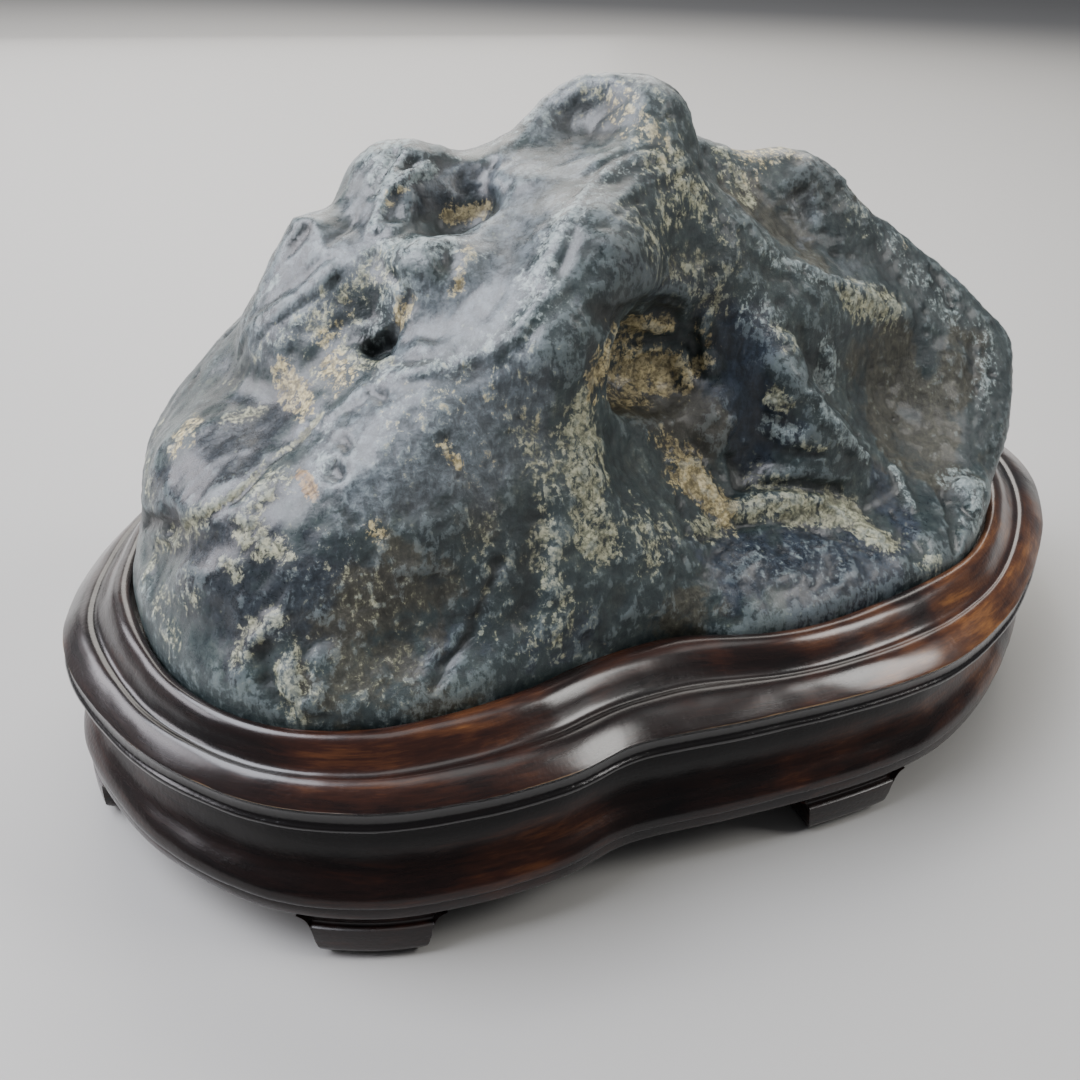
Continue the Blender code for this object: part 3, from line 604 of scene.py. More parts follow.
    ("shoulder deep", "dark", 5, 0.4, [(790, 165), (820, 185), (838, 200)]),
    ("recess dark", "dark", 6, 0.45, [(634, 408), (668, 416), (704, 434)]),
    ("lobe dark", "dark", 9, 0.3, [(250, 430), (216, 470)]),
    ("low lobe dark", "dark", 8, 0.3, [(236, 540), (210, 566), (260, 590)]),
    ("skirt dark", "dark", 7, 0.3, [(780, 590), (840, 590)]),
    ("slope gold", "ochre", 1.6, 0.5, [(352, 300), (336, 330), (318, 348)]),
    ("slope pale a", "pale", 1.4, 0.7, [(300, 318), (276, 340), (258, 356)]),
    ("slope pale b", "pale", 1.2, 0.6, [(280, 276), (262, 296), (246, 316)]),
]
MASKS = ("cream", "pale", "ochre", "rust", "grey", "navy", "slate", "brown", "dark")
print(len(PAINTING), "painting strokes")

# %% Paint the masks
PAINT_SPREAD = 1.4
PAINT_FADE = 0.7

places = points_of(stone)
masks = {name: np.zeros(len(places)) for name in MASKS}
patchiness = 0.45 * ripple(places, 7 * MM, 4)
paint(masks, PAINTING, cad_stone, places, PAINT_SPREAD, patchiness, PAINT_FADE)
print({name: round(float(mask.mean()), 3) for name, mask in masks.items()})

# %% [markdown]
# ## Colours that nobody painted
#
# The back and the far end carry the same crusts and stains. There they come from wide noise
# instead of strokes, so that the stone looks the same kind of thing from every side.

# %% Scatter crusts over the back
facing_back = share_of(places[:, 1] - 8 * MM, 12 * MM)
wide = ripple(places + 0.3, 26 * MM, 4)
other = ripple(places + 0.7, 18 * MM, 4)
third = ripple(places + 1.3, 30 * MM, 4)
# Mask, its noise, how steeply it follows the noise, its amount where the noise is 0, its most.
BACK_AREAS = (
    ("cream", wide, 2.0, -0.1, 0.6),
    ("navy", other, 2.2, -0.1, 1.0),
    ("grey", wide, -2.0, 0.0, 0.8),
    ("ochre", third, 2.4, -0.6, 0.6),
    ("brown", other, -2.0, -0.3, 0.8),
)
for name, waves, steepness, amount, most in BACK_AREAS:
    area = facing_back * np.clip(waves * steepness + amount, 0, most)
    masks[name] = np.maximum(masks[name], area)
print("back covered:", round(float(facing_back.mean()), 2))

# %% [markdown]
# ## Roughness of the surface
#
# The slopes that face up and left are smooth to the touch, with only soft waves and a fine ripple,
# drawn out down the slope, that shines like silk. The steep faces are rough, full of pits one to
# four millimetres wide. Crusts and brown areas are rougher still, and slate and navy ones smoother.
# A mask called rough says which is which. Fine noise is lifted where it is high, and several
# hundred small pits are pressed in.

# %% Rough up the faces
SMOOTH_WAY = np.array([-0.52, -0.15, 0.84])
RUN_DOWN = np.array([-0.66, -0.36, -0.66])
SEAT_HEIGHT = 43.5 * MM

normals = normals_of(stone)
rough = 1 - share_of(normals @ SMOOTH_WAY - 0.55, 0.3)
right_side = share_of(places[:, 0] - 45 * MM, 15 * MM)
rough = np.clip(rough * (1 - 0.45 * right_side), 0.12, 1)
rough *= 1 - 0.6 * np.clip(masks["slate"] + 0.8 * masks["navy"], 0, 1)
rough += 0.3 * masks["cream"] + 0.3 * masks["ochre"] + 0.5 * masks["brown"]
rough = np.clip(rough, 0, 1)

broad_wave = ripple(places + 2.1, 14 * MM, 3)
small_wave = ripple(places + 3.3, 4.5 * MM, 4)
crumb = ripple(places + 4.7, 1.8 * MM, 3)
drawn_places = places - 0.75 * np.outer(places @ RUN_DOWN, RUN_DOWN)
silk = ripple(drawn_places + 5.9, 2.6 * MM, 3) * (1 - 0.6 * rough)
crusted = np.clip(masks["cream"] + masks["pale"] * 0.6, 0, 1)

# How far each kind of noise lifts the surface, in millimetres.
lift = 0.50 * broad_wave + (0.10 + 0.28 * rough) * small_wave
lift += (0.03 + 0.14 * rough) * crumb
lift += 0.22 * silk
lift += 0.18 * crusted * np.clip(crumb + 0.4, 0, 1)
above_seat = share_of(places[:, 2] - SEAT_HEIGHT, 3 * MM)
places += normals * (lift * above_seat * MM)[:, None]
move_points(stone, places)
print("rough share:", round(float(rough.mean()), 2))

# %% Press in small pits
PIT_COUNT = 700
LARGEST_PIT = 1.9
PIT_DEPTH = 0.38  # of its radius

places = points_of(stone)
normals = normals_of(stone)
likely = (rough**2 + 0.03) * above_seat
chosen = chance.choice(len(places), PIT_COUNT, replace=False, p=likely / likely.sum())
sink = np.zeros(len(places))
for centre, size in zip(places[chosen], chance.gamma(3.0, 0.33, PIT_COUNT)):
    radius = min(0.5 + 0.5 * size, LARGEST_PIT) * MM
    near = np.linalg.norm((places - centre) * (1.0, 1.0, 1.25), axis=1) / radius
    sink = np.maximum(sink, np.clip(1 - near**2, 0, 1) * radius * PIT_DEPTH)
places -= normals * sink[:, None]
move_points(stone, places)
print("deepest pit:", round(float(sink.max() / MM), 2), "mm")

# %% [markdown]
# ## Wear and painted shade
#
# Handling rubs the high places paler, and the low ones are painted darker as shade. Both are read
# from the shape itself: a smoothed copy of the surface is compared with the real one, and a point
# that stands outside the copy is high.

# %% Measure high and low places
def smoothed(thing, places, rounds):
    """The same points, each moved to the average of its neighbours, again and again."""
    ends = np.empty(len(thing.data.edges) * 2, np.int32)
    thing.data.edges.foreach_get("vertices", ends)
    ends = ends.reshape(-1, 2)
    count = np.bincount(ends.ravel(), minlength=len(places))[:, None]
    for _ in range(rounds):
        total = np.zeros_like(places)
        for axis in range(3):
            total[:, axis] = np.bincount(ends[:, 0], places[ends[:, 1], axis], len(places))
            total[:, axis] += np.bincount(ends[:, 1], places[ends[:, 0], axis], len(places))
        places = (places + total / count) / 2
    return places


def add_mask(thing, name, values):
    attribute = thing.data.attributes.new(name, "FLOAT", "POINT")
    attribute.data.foreach_set("value", np.asarray(values, np.float32))


places = points_of(stone)
normals = normals_of(stone)
FINE_ROUNDS = 6
WIDE_ROUNDS = 70
fine_height = ((places - smoothed(stone, places, FINE_ROUNDS)) * normals).sum(axis=1) / MM
wide_height = ((places - smoothed(stone, places, WIDE_ROUNDS)) * normals).sum(axis=1) / MM
masks["worn"] = 0.6 * share_of(fine_height, 0.10) + 0.5 * share_of(wide_height, 0.9)
# sunk marks the low places, which the material paints darker as shade.
masks["sunk"] = 0.7 * share_of(-fine_height, 0.14) + 0.6 * share_of(-wide_height, 1.1)
masks["rough"] = rough
for name, mask in masks.items():
    add_mask(stone, name, np.clip(mask, 0, 1))
bpy.ops.object.shade_smooth()
print("fine relief:", round(float(np.abs(fine_height).mean()), 3), "mm")

# %% [markdown]
# ## Broken edges
#
# Both the crusts on the stone and the wear on the wood have edges that crumble into specks. One
# node group does this for both: it adds fine noise to a soft mask and keeps what comes out above
# a threshold.

# %% Build the broken edge group
def build_broken_edge():
    """Mask and Grain in, a crisp and crumbled mask out."""
    group = bpy.data.node_groups.new("broken edge", "ShaderNodeTree")
    for name in ("Mask", "Grain", "Reach", "Start", "Edge"):
        group.interface.new_socket(name, in_out="INPUT", socket_type="NodeSocketFloat")
    group.interface.new_socket("Mask", in_out="OUTPUT", socket_type="NodeSocketFloat")
    given = group.nodes.new("NodeGroupInput").outputs
    lifted = work_out(group, "MULTIPLY_ADD", given["Mask"], given["Reach"], given["Grain"])
    end = work_out(group, "ADD", given["Start"], given["Edge"])
    crisp = between(group, lifted, given["Start"], end)
    result = group.nodes.new("NodeGroupOutput")
    group.links.new(crisp, result.inputs[0])
    return group


broken_edge = build_broken_edge()


def broken(tree, mask, grain, reach, start, edge):
    """A mask with crumbled edges.

    reach is how much the mask counts beside the grain, start is the threshold, and edge is how
    softly the mask rises above it.
    """
    made = tree.nodes.new("ShaderNodeGroup")
    made.node_tree = broken_edge
    for name, value in (("Mask", mask), ("Grain", grain)):
        tree.links.new(value, made.inputs[name])
    for name, value in (("Reach", reach), ("Start", start), ("Edge", edge)):
        made.inputs[name].default_value = value
    return made.outputs[0]


print("group:", broken_edge.name)

# %% [markdown]
# ## The stone's material
#
# The body is a mix of blue-black, dark teal and grey-green. Over it go the navy, slate and brown
# areas and the grey painted sheen, all with soft edges, then the crusts with broken ones, the pale
# one also carrying painted highlights, and last the worn, paler high places and painted shade in
# the low places, holes and cracks. The wax makes it satin: smoother on the slopes and duller on the
# crusts. The finest pits, too small for the mesh, come from a Bump node.

# %% Mix the stone's colours
stone_finish, tree, shader = new_material("waxed dark stone")
where = add_node(tree, "ShaderNodeTexCoord").outputs["Object"]
drawn_out = add_node(tree, "ShaderNodeMapping", {"Vector": where, "Rotation": (0.35, -0.45, 0.0),
                                                 "Scale": (1.0, 1.0, 0.28)}).outputs[0]
broad = cloud(tree, where, 24.0, 4.0, 0.55, 0.4)
middle = cloud(tree, where, 130.0, 8.0, 0.68, 0.5)
fine = cloud(tree, where, 640.0, 8.0, 0.72, 0.3)
fibre = cloud(tree, drawn_out, 760.0, 6.0, 0.70, 0.8)
grit = cloud(tree, where, 1500.0, 3.0, 0.6)

body_share = work_out(tree, "MULTIPLY_ADD", middle, 0.38, work_out(tree, "MULTIPLY", broad, 0.20))
body_share = work_out(tree, "MULTIPLY_ADD", fine, 0.30, body_share)
body_share = work_out(tree, "MULTIPLY_ADD", fibre, 0.24, body_share)
colour = colour_ramp(tree, body_share, [
    (0.42, (0.010, 0.016, 0.020)),
    (0.51, (0.021, 0.033, 0.036)),
    (0.58, (0.040, 0.057, 0.057)),
    (0.66, (0.085, 0.106, 0.092)),
    (0.78, (0.180, 0.200, 0.150)),
])
# The grey area is painted sheen on the lit faces, and a random grey tone on the back.
soft_areas = (
    ("slate", 0.85, (0.022, 0.028, 0.037)),
    ("navy", 0.85, (0.020, 0.030, 0.048)),
    ("brown", 0.80, (0.062, 0.058, 0.040)),
    ("grey", 0.70, (0.110, 0.130, 0.146)),
)
mottle = between(tree, middle, 0.34, 0.66)
for name, most, tint in soft_areas:
    area = broken(tree, mask_of(tree, name), mottle, 1.5, 1.0, 0.7)
    share = work_out(tree, "MULTIPLY", area, most)
    shade = mix_colours(tree, between(tree, work_out(tree, "ADD", fine, fibre), 0.80, 1.25),
                        tuple(0.55 * part for part in tint), tuple(1.7 * part for part in tint))
    colour = mix_colours(tree, share, colour, shade)
print("body colours mixed")

# %% Lay the crusts over the body
# The pale crust also carries the painted highlights on the ridges and bosses.
crusts = (
    ("pale", 0.75, (0.17, 0.22, 0.22), (0.44, 0.51, 0.49)),
    ("cream", 0.88, (0.20, 0.21, 0.135), (0.56, 0.55, 0.37)),
    ("ochre", 0.92, (0.28, 0.225, 0.100), (0.74, 0.62, 0.33)),
    ("rust", 0.85, (0.20, 0.11, 0.04), (0.48, 0.30, 0.12)),
)
grain = work_out(tree, "MULTIPLY_ADD", fine, 0.42, work_out(tree, "MULTIPLY", middle, 0.18))
grain = work_out(tree, "MULTIPLY_ADD", fibre, 0.40, grain)
grain = between(tree, grain, 0.38, 0.62)
cells = add_node(tree, "ShaderNodeTexVoronoi", {"Vector": where, "Scale": 330.0},
                 feature="DISTANCE_TO_EDGE")
crackle = work_out(tree, "ADD", cells.outputs["Distance"], work_out(tree, "MULTIPLY", fine, 0.5))
crackle = between(tree, crackle, 0.35, 0.25)
crust_cover = None
for name, most, dull, bright in crusts:
    share = broken(tree, mask_of(tree, name), grain, 1.05, 0.96, 0.34)
    tint = mix_colours(tree, between(tree, work_out(tree, "ADD", fine, grit), 0.85, 1.20), dull, bright)
    tint = mix_colours(tree, work_out(tree, "MULTIPLY", crackle, 0.55), tint,
                       tuple(0.3 * part for part in dull))
    colour = mix_colours(tree, work_out(tree, "MULTIPLY", share, most), colour, tint)
    crust_cover = share if crust_cover is None else work_out(tree, "MAXIMUM", crust_cover, share)
print("crusts:", [name for name, *_ in crusts])

# %% Add specks, wear and painted shade
specks = add_node(tree, "ShaderNodeTexVoronoi", {"Vector": where, "Scale": 620.0})
is_speck = between(tree, specks.outputs["Distance"], 0.22, 0.12)
speck_kind = work_out(tree, "MULTIPLY", is_speck, between(tree, middle, 0.50, 0.60))
colour = mix_colours(tree, work_out(tree, "MULTIPLY", speck_kind, 0.40), colour, (0.26, 0.29, 0.22))
worn = broken(tree, mask_of(tree, "worn"), grain, 0.9, 1.0, 0.4)
colour = mix_colours(tree, work_out(tree, "MULTIPLY", worn, 0.34), colour, (0.22, 0.27, 0.28))
# Painted shade in the low places.
hollow_shade = work_out(tree, "MULTIPLY", mask_of(tree, "sunk"), 0.50)
colour = mix_colours(tree, hollow_shade, colour, (0.012, 0.012, 0.011))
# Painted shade: the strokes darken holes, cracks, recesses and shaded faces.
shadowed = work_out(tree, "MULTIPLY", mask_of(tree, "dark"), 0.75)
colour = mix_colours(tree, shadowed, colour, (0.014, 0.013, 0.011))
tree.links.new(colour, shader.inputs["Base Color"])
print("colour linked")

# %% Give the stone its gloss and fine pits
gloss = work_out(tree, "MULTIPLY_ADD", mask_of(tree, "rough"), 0.27, 0.25)
gloss = work_out(tree, "MULTIPLY_ADD", crust_cover, 0.12, gloss)
gloss = work_out(tree, "MULTIPLY_ADD", work_out(tree, "SUBTRACT", fine, 0.5), 0.30, gloss, clamp=True)
tree.links.new(gloss, shader.inputs["Roughness"])
shader.inputs["Specular IOR Level"].default_value = 0.5
shader.inputs["Coat Weight"].default_value = 0.10
shader.inputs["Coat Roughness"].default_value = 0.14

roughness_share = work_out(tree, "MULTIPLY_ADD", mask_of(tree, "rough"), 0.82, 0.09, clamp=True)
relief = work_out(tree, "ADD", fine, work_out(tree, "MULTIPLY", fibre, 0.5))
relief = work_out(tree, "MULTIPLY_ADD", grit, 0.25, relief)
relief = work_out(tree, "MULTIPLY", relief, roughness_share)
relief = work_out(tree, "MULTIPLY_ADD", crackle, work_out(tree, "MULTIPLY", crust_cover, -0.12), relief)
bump = add_node(tree, "ShaderNodeBump", {"Height": relief, "Strength": 0.5, "Distance": 0.80 * MM})
tree.links.new(bump.outputs["Normal"], shader.inputs["Normal"])
stone.data.materials.append(stone_finish)
print("stone finished:", len(stone.data.polygons), "faces")

# %% [markdown]
# ## The stand: outline and moulding
#
# The stand is one block of dark hardwood, cut to the plan of the stone and run round with a
# moulding: a torus below, a dark hollow waist, a flat black lip, and above it two rolls that
# climb to the stone. The rim is wide at the broad end and narrow by the stone's bulges, so the
# moulding can't be one profile swept along a curve. It is drawn as rings instead. The rings below
# the lip are set in from it by millimetres, and those above it cross the rim by shares of its
# width.

# %% Draw the two outlines
LIP_PLAN = [
    (-102, 33), (-110.5, 14), (-114.5, -4), (-114, -19), (-108, -35), (-99, -49.5), (-84, -63.5),
    (-67, -70.5), (-50, -71.5), (-34, -69.5), (-20, -65), (0, -64), (20, -62.5), (38, -59.5),
    (52, -54.5), (68, -44.5), (84, -30.5), (99, -14), (111, 6), (115, 24), (110, 43), (95, 59),
    (72, 68.5), (40, 71.5), (0, 71.5), (-40, 69), (-72, 60), (-92, 47),
]
SEAM_PLAN = [
    (-101, -2), (-100.5, -18), (-95, -37), (-84, -52), (-68, -59), (-50, -58.5), (-31, -53),
    (-17, -48.5), (-6, -46.5), (6, -50.5), (20, -49.5), (40, -43.5), (60, -35.5), (74.5, -22.5),
    (84.5, -8.5), (90.5, 4), (92.5, 15.5), (89, 30), (75, 46), (45, 57), (5, 60), (-38, 57), (-72, 48),
    (-93, 29),
]
RING_POINTS = 400


def smooth_path(points, steps, closed):
    """A curve through all the points, with this many steps from one to the next."""
    here = np.array(points, float)
    if closed:
        before, after, beyond = (np.roll(here, -turn, 0) for turn in (-1, 1, 2))
    else:
        ends = np.vstack([2 * here[0] - here[1], here, 2 * here[-1] - here[-2]])
        before, here, after, beyond = ends[:-3], ends[1:-2], ends[2:-1], ends[3:]
    parts = []
    for t in np.arange(steps) / steps:
        part = 2 * here + (after - before) * t
        part += (2 * before - 5 * here + 4 * after - beyond) * t**2
        part += (3 * here - before - 3 * after + beyond) * t**3
        parts.append(part / 2)
    path = np.stack(parts, axis=1).reshape(-1, here.shape[1])
    return path if closed else np.vstack([path, np.array(points[-1], float)])


def even_ring(loop, count):
    """Points at even distances round a closed loop, and the way outward at each."""
    closed = np.vstack([loop, loop[:1]])
    travelled = np.concatenate([[0], np.cumsum(np.linalg.norm(np.diff(closed, axis=0), axis=1))])
    stops = np.linspace(0, travelled[-1], count, endpoint=False)
    ring = np.column_stack([np.interp(stops, travelled, closed[:, axis]) for axis in (0, 1)])
    way = np.roll(ring, -2, 0) - np.roll(ring, 2, 0)
    way /= np.linalg.norm(way, axis=1, keepdims=True)
    return ring, np.column_stack([way[:, 1], -way[:, 0]]), travelled[-1]


lip, outward, lip_length = even_ring(smooth_path(np.array(LIP_PLAN) * MM, 12, True), RING_POINTS)
seam = smooth_path(np.array(SEAM_PLAN) * MM, 8, True)
print("round the lip:", round(lip_length / MM), "mm")

# %% Measure the rim
SEAT_GAP = 0.5 * MM


def width_to(points, ways, loop):
    """How far each point is from the loop, straight inward, evened out a little."""
    edge = (np.roll(loop, -1, 0) - loop)[None]
    gap = loop[None] - points[:, None]
    inward = -ways[:, None]
    turning = inward[..., 0] * edge[..., 1] - inward[..., 1] * edge[..., 0]
    reach = (gap[..., 0] * edge[..., 1] - gap[..., 1] * edge[..., 0]) / turning
    share = (gap[..., 0] * inward[..., 1] - gap[..., 1] * inward[..., 0]) / turning
    width = np.where((share >= 0) & (share <= 1) & (reach > 0), reach, np.inf).min(axis=1)
    for _ in range(30):
        width = (np.roll(width, 1) + 2 * width + np.roll(width, -1)) / 4
    return width


rim_width = width_to(lip, outward, seam) - SEAT_GAP
print("rim:", round(rim_width.min() / MM, 1), "to", round(rim_width.max() / MM, 1), "mm wide")

# %% Draw the moulding
# Each run is smooth, and the wood has a sharp edge where one run meets the next.
SIDE_RUNS = [
    [(3.0, 10.0), (1.3, 10.0), (0.5, 10.2), (0.3, 10.8), (0.3, 11.8), (0.45, 12.5)],
    [(0.25, 12.7), (0.0, 13.2), (0.05, 14.0), (0.45, 15.0), (1.4, 16.3), (3.1, 18.3), (4.5, 21.0),
     (5.2, 24.0), (4.9, 26.8), (3.6, 28.8), (1.5, 29.9), (0.3, 30.1)],
    [(0.0, 30.2), (-0.3, 30.6), (-0.25, 31.1), (0.3, 31.7), (0.55, 32.5), (0.5, 33.4),
     (0.1, 34.2)],
]
RIM_RUNS = [
    [(0.0, 34.4), (0.04, 34.9), (0.12, 35.8), (0.21, 36.7), (0.30, 37.4), (0.38, 37.7),
     (0.45, 37.6), (0.52, 38.0), (0.60, 39.1), (0.68, 40.4), (0.77, 41.6), (0.86, 42.2),
     (0.94, 42.2), (1.0, 41.8)],
]
STEPS_PER_RUN_POINT = 4

side = np.vstack([smooth_path(run, STEPS_PER_RUN_POINT, False) for run in SIDE_RUNS])
rim = np.vstack([smooth_path(run, STEPS_PER_RUN_POINT, False) for run in RIM_RUNS])
levels = [(lip - outward * inset * MM, height * MM) for inset, height in side]
levels += [(lip - outward * (share * rim_width)[:, None], height * MM) for share, height in rim]
edge_of_seat = lip - outward * rim_width[:, None]
levels += [(edge_of_seat, 40.5 * MM), (edge_of_seat, 35.6 * MM)]
print(len(levels), "rings")

# %% [markdown]
# ## Building the block
#
# Each ring is a closed row of points at its own height, and every ring is joined to the next by a
# band of faces, like a loft. Both ends are filled, so the block is closed. The block also carries
# a second set of coordinates, called course, that runs with the moulding: streaks and scratches
# follow it, and because it goes round in a circle it has no seam.

# %% Stack the rings
shape = bmesh.new()
rings = [[shape.verts.new((x, y, height)) for x, y in plan] for plan, height in levels]
for ring, following in zip(rings, rings[1:]):
    for i in range(RING_POINTS):
        j = (i + 1) % RING_POINTS
        shape.faces.new((ring[i], ring[j], following[j], following[i]))
shape.faces.new(rings[0][::-1])
shape.faces.new(rings[-1])
bmesh.ops.recalc_face_normals(shape, faces=shape.faces)
block_mesh = bpy.data.meshes.new("stand_carved")
shape.to_mesh(block_mesh)
shape.free()
stand = bpy.data.objects.new("stand_carved", block_mesh)
bpy.context.scene.collection.objects.link(stand)

profile = np.array([(-plan[0] @ outward[0], height) for plan, height in levels])
climb = np.concatenate([[0], np.cumsum(np.linalg.norm(np.diff(profile, axis=0), axis=1))])
angle = np.arange(RING_POINTS) / RING_POINTS * 2 * math.pi
course_radius = lip_length / (2 * math.pi)
course = np.array([(course_radius * math.cos(a), course_radius * math.sin(a), up)
                   for up in climb for a in angle])
ring_of_point = np.repeat(np.arange(len(levels)), RING_POINTS)
print("block:", len(stand.data.polygons), "faces")

# %% [markdown]
# ## Bracket feet
#
# The stand is raised on short feet cut from the same wood. Each one follows the outline, spreads
# into the base with a hollow curve at both ends, and has a thin line cut across it near the top.
# A foot is made of upright slices: every slice has the same face, cut off below at the height of
# the foot's lower edge there.

# %% Carve the feet
FOOT_PLACES = {
    "left_end": (-111.5, -16.5), "front_left": (-67.5, -69.5), "front_right": (26.5, -60.5),
    "right_end": (109.0, 24.0), "back_right": (44.0, 68.0), "back_left": (-52.0, 64.0),
}
# Half of the lower edge, from the end to the middle: distance along the outline, and height.
FOOT_EDGE = [(12.6, 9.9), (11.3, 9.3), (10.5, 8.1), (10.0, 6.2), (9.7, 4.2), (9.1, 2.2),
             (8.4, 0.9), (7.4, 0.0), (5.0, 0.0), (0.0, 0.0)]
# The foot's face, from the top: how far it is set in from the lip, and height.
FOOT_FACE = [(0.9, 11.0), (1.0, 9.9), (1.4, 9.5), (1.5, 8.2), (1.3, 7.7), (0.4, 7.4),
             (0.3, 5.2), (0.4, 3.0), (0.6, 2.3), (1.5, 0.9), (2.2, 0.0)]
FOOT_DEPTH = 12.0


def outline_at(distance):
    """The lip's point and outward direction at a distance along it, in metres."""
    place = distance / lip_length * RING_POINTS
    low = np.floor(place).astype(int)
    part = (place - low)[:, None]
    first, second = low % RING_POINTS, (low + 1) % RING_POINTS
    spot = lip[first] * (1 - part) + lip[second] * part
    way = outward[first] * (1 - part) + outward[second] * part
    return spot, way / np.linalg.norm(way, axis=1, keepdims=True)


def carve_foot(name, place):
    half = smooth_path(FOOT_EDGE, 3, False)
    edge = np.vstack([half * (-1, 1), half[-2::-1]])
    nearest = np.linalg.norm(lip - np.array(place) * MM, axis=1).argmin()
    middle = nearest / RING_POINTS * lip_length
    spots, ways = outline_at(middle + edge[:, 0] * MM)
    face = smooth_path(FOOT_FACE, 2, False)
    shape = bmesh.new()
    slices = []
    for spot, way, low in zip(spots, ways, edge[:, 1]):
        rows = [(inset, max(height, low)) for inset, height in face]
        rows += [(FOOT_DEPTH, max(low, 0.0)), (FOOT_DEPTH, face[0][1])]
        slices.append([shape.verts.new((*(spot - way * inset * MM), height * MM))
                       for inset, height in rows])
    for first, second in zip(slices, slices[1:]):
        for i in range(len(first)):
            j = (i + 1) % len(first)
            shape.faces.new((first[i], first[j], second[j], second[i]))
    shape.faces.new(slices[0][::-1])
    shape.faces.new(slices[-1])
    bmesh.ops.recalc_face_normals(shape, faces=shape.faces)
    mesh = bpy.data.meshes.new("foot_" + name)
    shape.to_mesh(mesh)
    shape.free()
    foot = bpy.data.objects.new("foot_" + name, mesh)
    bpy.context.scene.collection.objects.link(foot)
    return foot


feet = [carve_foot(name, place) for name, place in FOOT_PLACES.items()]
block_points = len(stand.data.vertices)
bpy.ops.object.select_all(action="DESELECT")
for foot in feet:
    foot.select_set(True)
stand.select_set(True)
bpy.context.view_layer.objects.active = stand
bpy.ops.object.join()
print("stand with feet:", len(stand.data.polygons), "faces")

# %% [markdown]
# ## Hand work on the wood
#
# A carved moulding is never quite even: the rolls swell and thin a little, and the tool leaves
# shallow marks. The points are moved slightly along their normals, with wide noise for the swell
# and finer, lower noise for the marks. The feet and the seat stay true, so that the stand still
# stands flat and fits the stone.

# %% Loosen the moulding
SWAY = 0.28
TOOL_MARK = 0.10
SEAT_RINGS = 3

places = points_of(stand)
normals = normals_of(stand)
sway = ripple(places * (1, 1, 0.6) + 0.9, 38 * MM, 2)
tool_marks = ripple(places + 1.9, 7 * MM, 2)
is_block = np.zeros(len(places))
is_block[:block_points] = 1
free = is_block * share_of(places[:, 2] - 10.5 * MM, 1.5 * MM)
free *= share_of(43.4 * MM - places[:, 2], MM)
side_level = np.full(len(places), -1.0)
side_level[:block_points] = ring_of_point
at_seat = side_level >= len(levels) - SEAT_RINGS
free[at_seat] = 0
places += normals * (free * (SWAY * sway + TOOL_MARK * tool_marks) * MM)[:, None]
move_points(stand, places)
print("largest sway:", round(float(np.abs(sway).max() * SWAY), 2), "mm")

# %% List the wood's painting strokes
# Name, mask, radius, strength, and the dots of the path.
WOOD_PAINTING = [
    ("front strip a", "amber", 6, 0.45, [(310, 744), (370, 752), (440, 742), (500, 722), (556, 696)]),
    ("front strip b", "amber", 4, 0.6, [(596, 672), (660, 650), (700, 646)]),
    ("front roll", "amber", 4, 0.3, [(380, 800), (470, 790), (560, 762)]),
    ("right strip", "amber", 5, 0.8, [(816, 636), (850, 626), (884, 612)]),
    ("right slope a", "amber", 7, 1, [(900, 664), (950, 636), (986, 604)]),
    ("right end", "amber", 11, 1.5, [(962, 590), (1000, 548), (1020, 506)]),
    ("right end low", "amber", 9, 1.2, [(985, 650), (1010, 610), (1028, 560)]),
    ("torus left", "amber", 5, 0.6, [(500, 862), (540, 846), (592, 828)]),
    ("torus right", "amber", 4, 0.6, [(800, 760), (880, 726), (950, 690)]),
    ("left strip", "red", 7, 0.9, [(136, 560), (150, 600), (190, 640)]),
    ("left strip low", "red", 6, 0.7, [(230, 700), (270, 740), (330, 790)]),
    ("waist front", "red", 7, 0.2, [(330, 880), (420, 880), (470, 868)]),
]
print(len(WOOD_PAINTING), "strokes on the wood")

# %% Paint the wood's masks
WOOD_SPREAD = 1.6
WOOD_FADE = 0.5

wood_noise = ripple(places, 12 * MM, 4)
wood = {name: np.zeros(len(places)) for name in ("amber", "red")}
cad_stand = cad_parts["stand"]
paint(wood, WOOD_PAINTING, cad_stand, places, WOOD_SPREAD, 0.5 * wood_noise, WOOD_FADE)
back = share_of(places[:, 1], 20 * MM)
wood["amber"] = np.maximum(wood["amber"], back * np.clip(wood_noise * 1.8 + 0.1, 0, 0.8))
wood["red"] = np.maximum(wood["red"], np.clip(0.35 - wood_noise, 0, 0.5))
print({name: round(float(mask.mean()), 2) for name, mask in wood.items()})

# %% Mark the bands of the moulding
# Heights in millimetres.
LIP_MIDDLE = 32.2
LIP_EDGE = 30.15
WAIST_MIDDLE = 26.0
TORUS_GROOVE = 12.8
SIDE_TOP = 30.6
# Counted in rings from the first ring of the rim.
ROLL_GROOVE = 24
RIM_FULL = 6


def band(values, middle, half_width, power):
    """1 along the middle, falling to 0 on both sides. A high power makes the top flat."""
    return np.exp(-(((values - middle) / half_width) ** power))


first_rim = len(side)
height = places[:, 2] / MM
on_side = (side_level >= 0) * (side_level < first_rim)
lip_edge = 0.5 * band(height, LIP_EDGE, 0.3, 2) * on_side
torus_groove = band(height, TORUS_GROOVE, 0.35, 2) * on_side
wood["lip"] = band(height, LIP_MIDDLE, 2.1, 4) * on_side
wood["arris"] = np.maximum(band(side_level, first_rim, 1.0, 2), lip_edge)
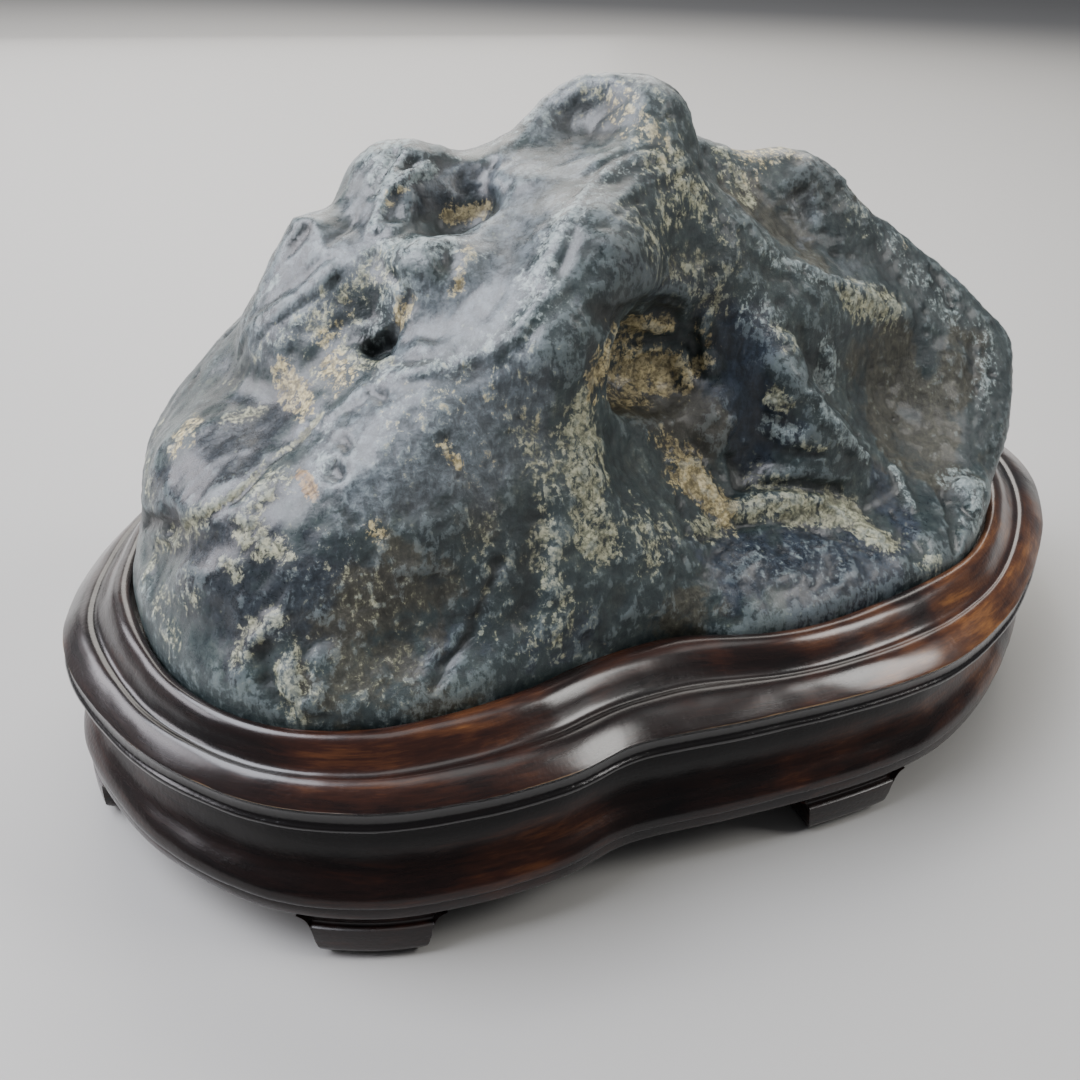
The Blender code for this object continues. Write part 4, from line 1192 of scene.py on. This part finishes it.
# The waist and groove bands darken the wood's colour as painted shade; the waist also thins the
# lacquer.
wood["waist"] = band(height, WAIST_MIDDLE, 4.0, 4) * on_side
wood["groove"] = np.maximum(band(side_level, first_rim + ROLL_GROOVE, 5.0, 2), torus_groove)
wood["rim"] = share_of(side_level - first_rim, RIM_FULL)
wood["side"] = share_of(SIDE_TOP - height, 0.8)
for name, mask in wood.items():
    add_mask(stand, name, np.clip(mask, 0, 1))
print("bands:", sorted(wood))

# %% Set the course of the grain
SHARP_ANGLE = math.radians(38)

grain_way = np.vstack([course, places[block_points:]])
attribute = stand.data.attributes.new("course", "FLOAT_VECTOR", "POINT")
attribute.data.foreach_set("vector", grain_way.astype(np.float32).ravel())
bpy.ops.object.shade_smooth_by_angle(angle=SHARP_ANGLE)
print("grain set on", len(grain_way), "points")

# %% [markdown]
# ## The lacquered wood
#
# The wood is nearly black in the lip, and the waist and the grooves are painted darker still, as
# shade under the lip and in the creases. It shows through red-brown and orange near the stone and
# at the broad end, where it was rubbed. Streaks run along the moulding, and the arris of the lip is
# rubbed down to a thin golden line. The rim and the lip have the most lacquer and the waist the
# least, so the rim shines and the waist is dull. Fine sanding scratches cross the rim, and lacquer
# over open grain is never flat, so the gloss breaks into sparks.

# %% Mix the wood's colours
wood_finish, tree, shader = new_material("lacquered hardwood")
where = add_node(tree, "ShaderNodeTexCoord").outputs["Object"]
along = add_node(tree, "ShaderNodeAttribute", attribute_name="course").outputs["Vector"]
stretched = add_node(tree, "ShaderNodeMapping", {"Vector": along, "Scale": (1.0, 1.0, 9.0)},
                     vector_type="POINT").outputs[0]
streaks = cloud(tree, stretched, 42.0, 6.0, 0.62, 0.5)
broad = cloud(tree, where, 30.0, 4.0, 0.55, 0.3)
fine = cloud(tree, stretched, 230.0, 4.0, 0.6)
pores = cloud(tree, where, 1300.0, 2.0, 0.5)

depth = work_out(tree, "MULTIPLY_ADD", streaks, 0.50, work_out(tree, "MULTIPLY", broad, 0.30))
depth = work_out(tree, "MULTIPLY_ADD", fine, 0.20, depth)
# The waist and groove entries are painted shade, under the lip and in the creases.
paler_or_darker = (("amber", 0.20), ("red", 0.07), ("lip", -0.22), ("waist", -0.25),
                   ("groove", -0.10))
for name, change in paler_or_darker:
    depth = work_out(tree, "MULTIPLY_ADD", mask_of(tree, name), change, depth)
colour = colour_ramp(tree, depth, [
    (0.40, (0.0035, 0.0024, 0.0024)),
    (0.54, (0.011, 0.0050, 0.0042)),
    (0.64, (0.030, 0.010, 0.006)),
    (0.75, (0.085, 0.030, 0.011)),
    (0.90, (0.290, 0.122, 0.034)),
])
rubbed = broken(tree, mask_of(tree, "arris"), between(tree, streaks, 0.40, 0.66), 1.0, 1.15, 0.6)
colour = mix_colours(tree, work_out(tree, "MULTIPLY", rubbed, 0.6), colour, (0.26, 0.17, 0.085))
tree.links.new(colour, shader.inputs["Base Color"])
print("wood colours mixed")

# %% Give the wood its lacquer
gloss = work_out(tree, "MULTIPLY_ADD", streaks, 0.24, 0.16)
gloss = work_out(tree, "MULTIPLY_ADD", mask_of(tree, "lip"), -0.14, gloss)
gloss = work_out(tree, "MULTIPLY_ADD", mask_of(tree, "amber"), 0.06, gloss, clamp=True)
tree.links.new(gloss, shader.inputs["Roughness"])
shader.inputs["Specular IOR Level"].default_value = 0.12
lacquer = work_out(tree, "MULTIPLY_ADD", mask_of(tree, "side"), -0.50, 1.0)
lacquer = work_out(tree, "MULTIPLY_ADD", mask_of(tree, "waist"), -0.40, lacquer, clamp=True)
tree.links.new(lacquer, shader.inputs["Coat Weight"])
shader.inputs["Coat Roughness"].default_value = 0.22

scratch_way = add_node(tree, "ShaderNodeMapping", {"Vector": along, "Scale": (1.0, 1.0, 0.10)},
                       vector_type="POINT").outputs[0]
scratches = cloud(tree, scratch_way, 1100.0, 2.0, 0.5)
relief = work_out(tree, "MULTIPLY", pores,
                  work_out(tree, "MULTIPLY_ADD", mask_of(tree, "lip"), 0.8, 0.55))
relief = work_out(tree, "MULTIPLY_ADD", fine, 0.25, relief)
relief = work_out(tree, "MULTIPLY_ADD", scratches,
                  work_out(tree, "MULTIPLY", mask_of(tree, "rim"), 0.30), relief)
bump = add_node(tree, "ShaderNodeBump", {"Height": relief, "Strength": 0.5, "Distance": 0.24 * MM})
tree.links.new(bump.outputs["Normal"], shader.inputs["Normal"])
stand.data.materials.append(wood_finish)
print("stand finished")

# %% [markdown]
# ## Putting it together
#
# Both pieces ride on the one body, and each stands for its solid. The stone isn't fixed to the
# stand: it rests in its seat.

# %% Join the pieces to the frame
for piece, node in ((stone, "stone"), (stand, "stand")):
    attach(piece, "root")
    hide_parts(node)
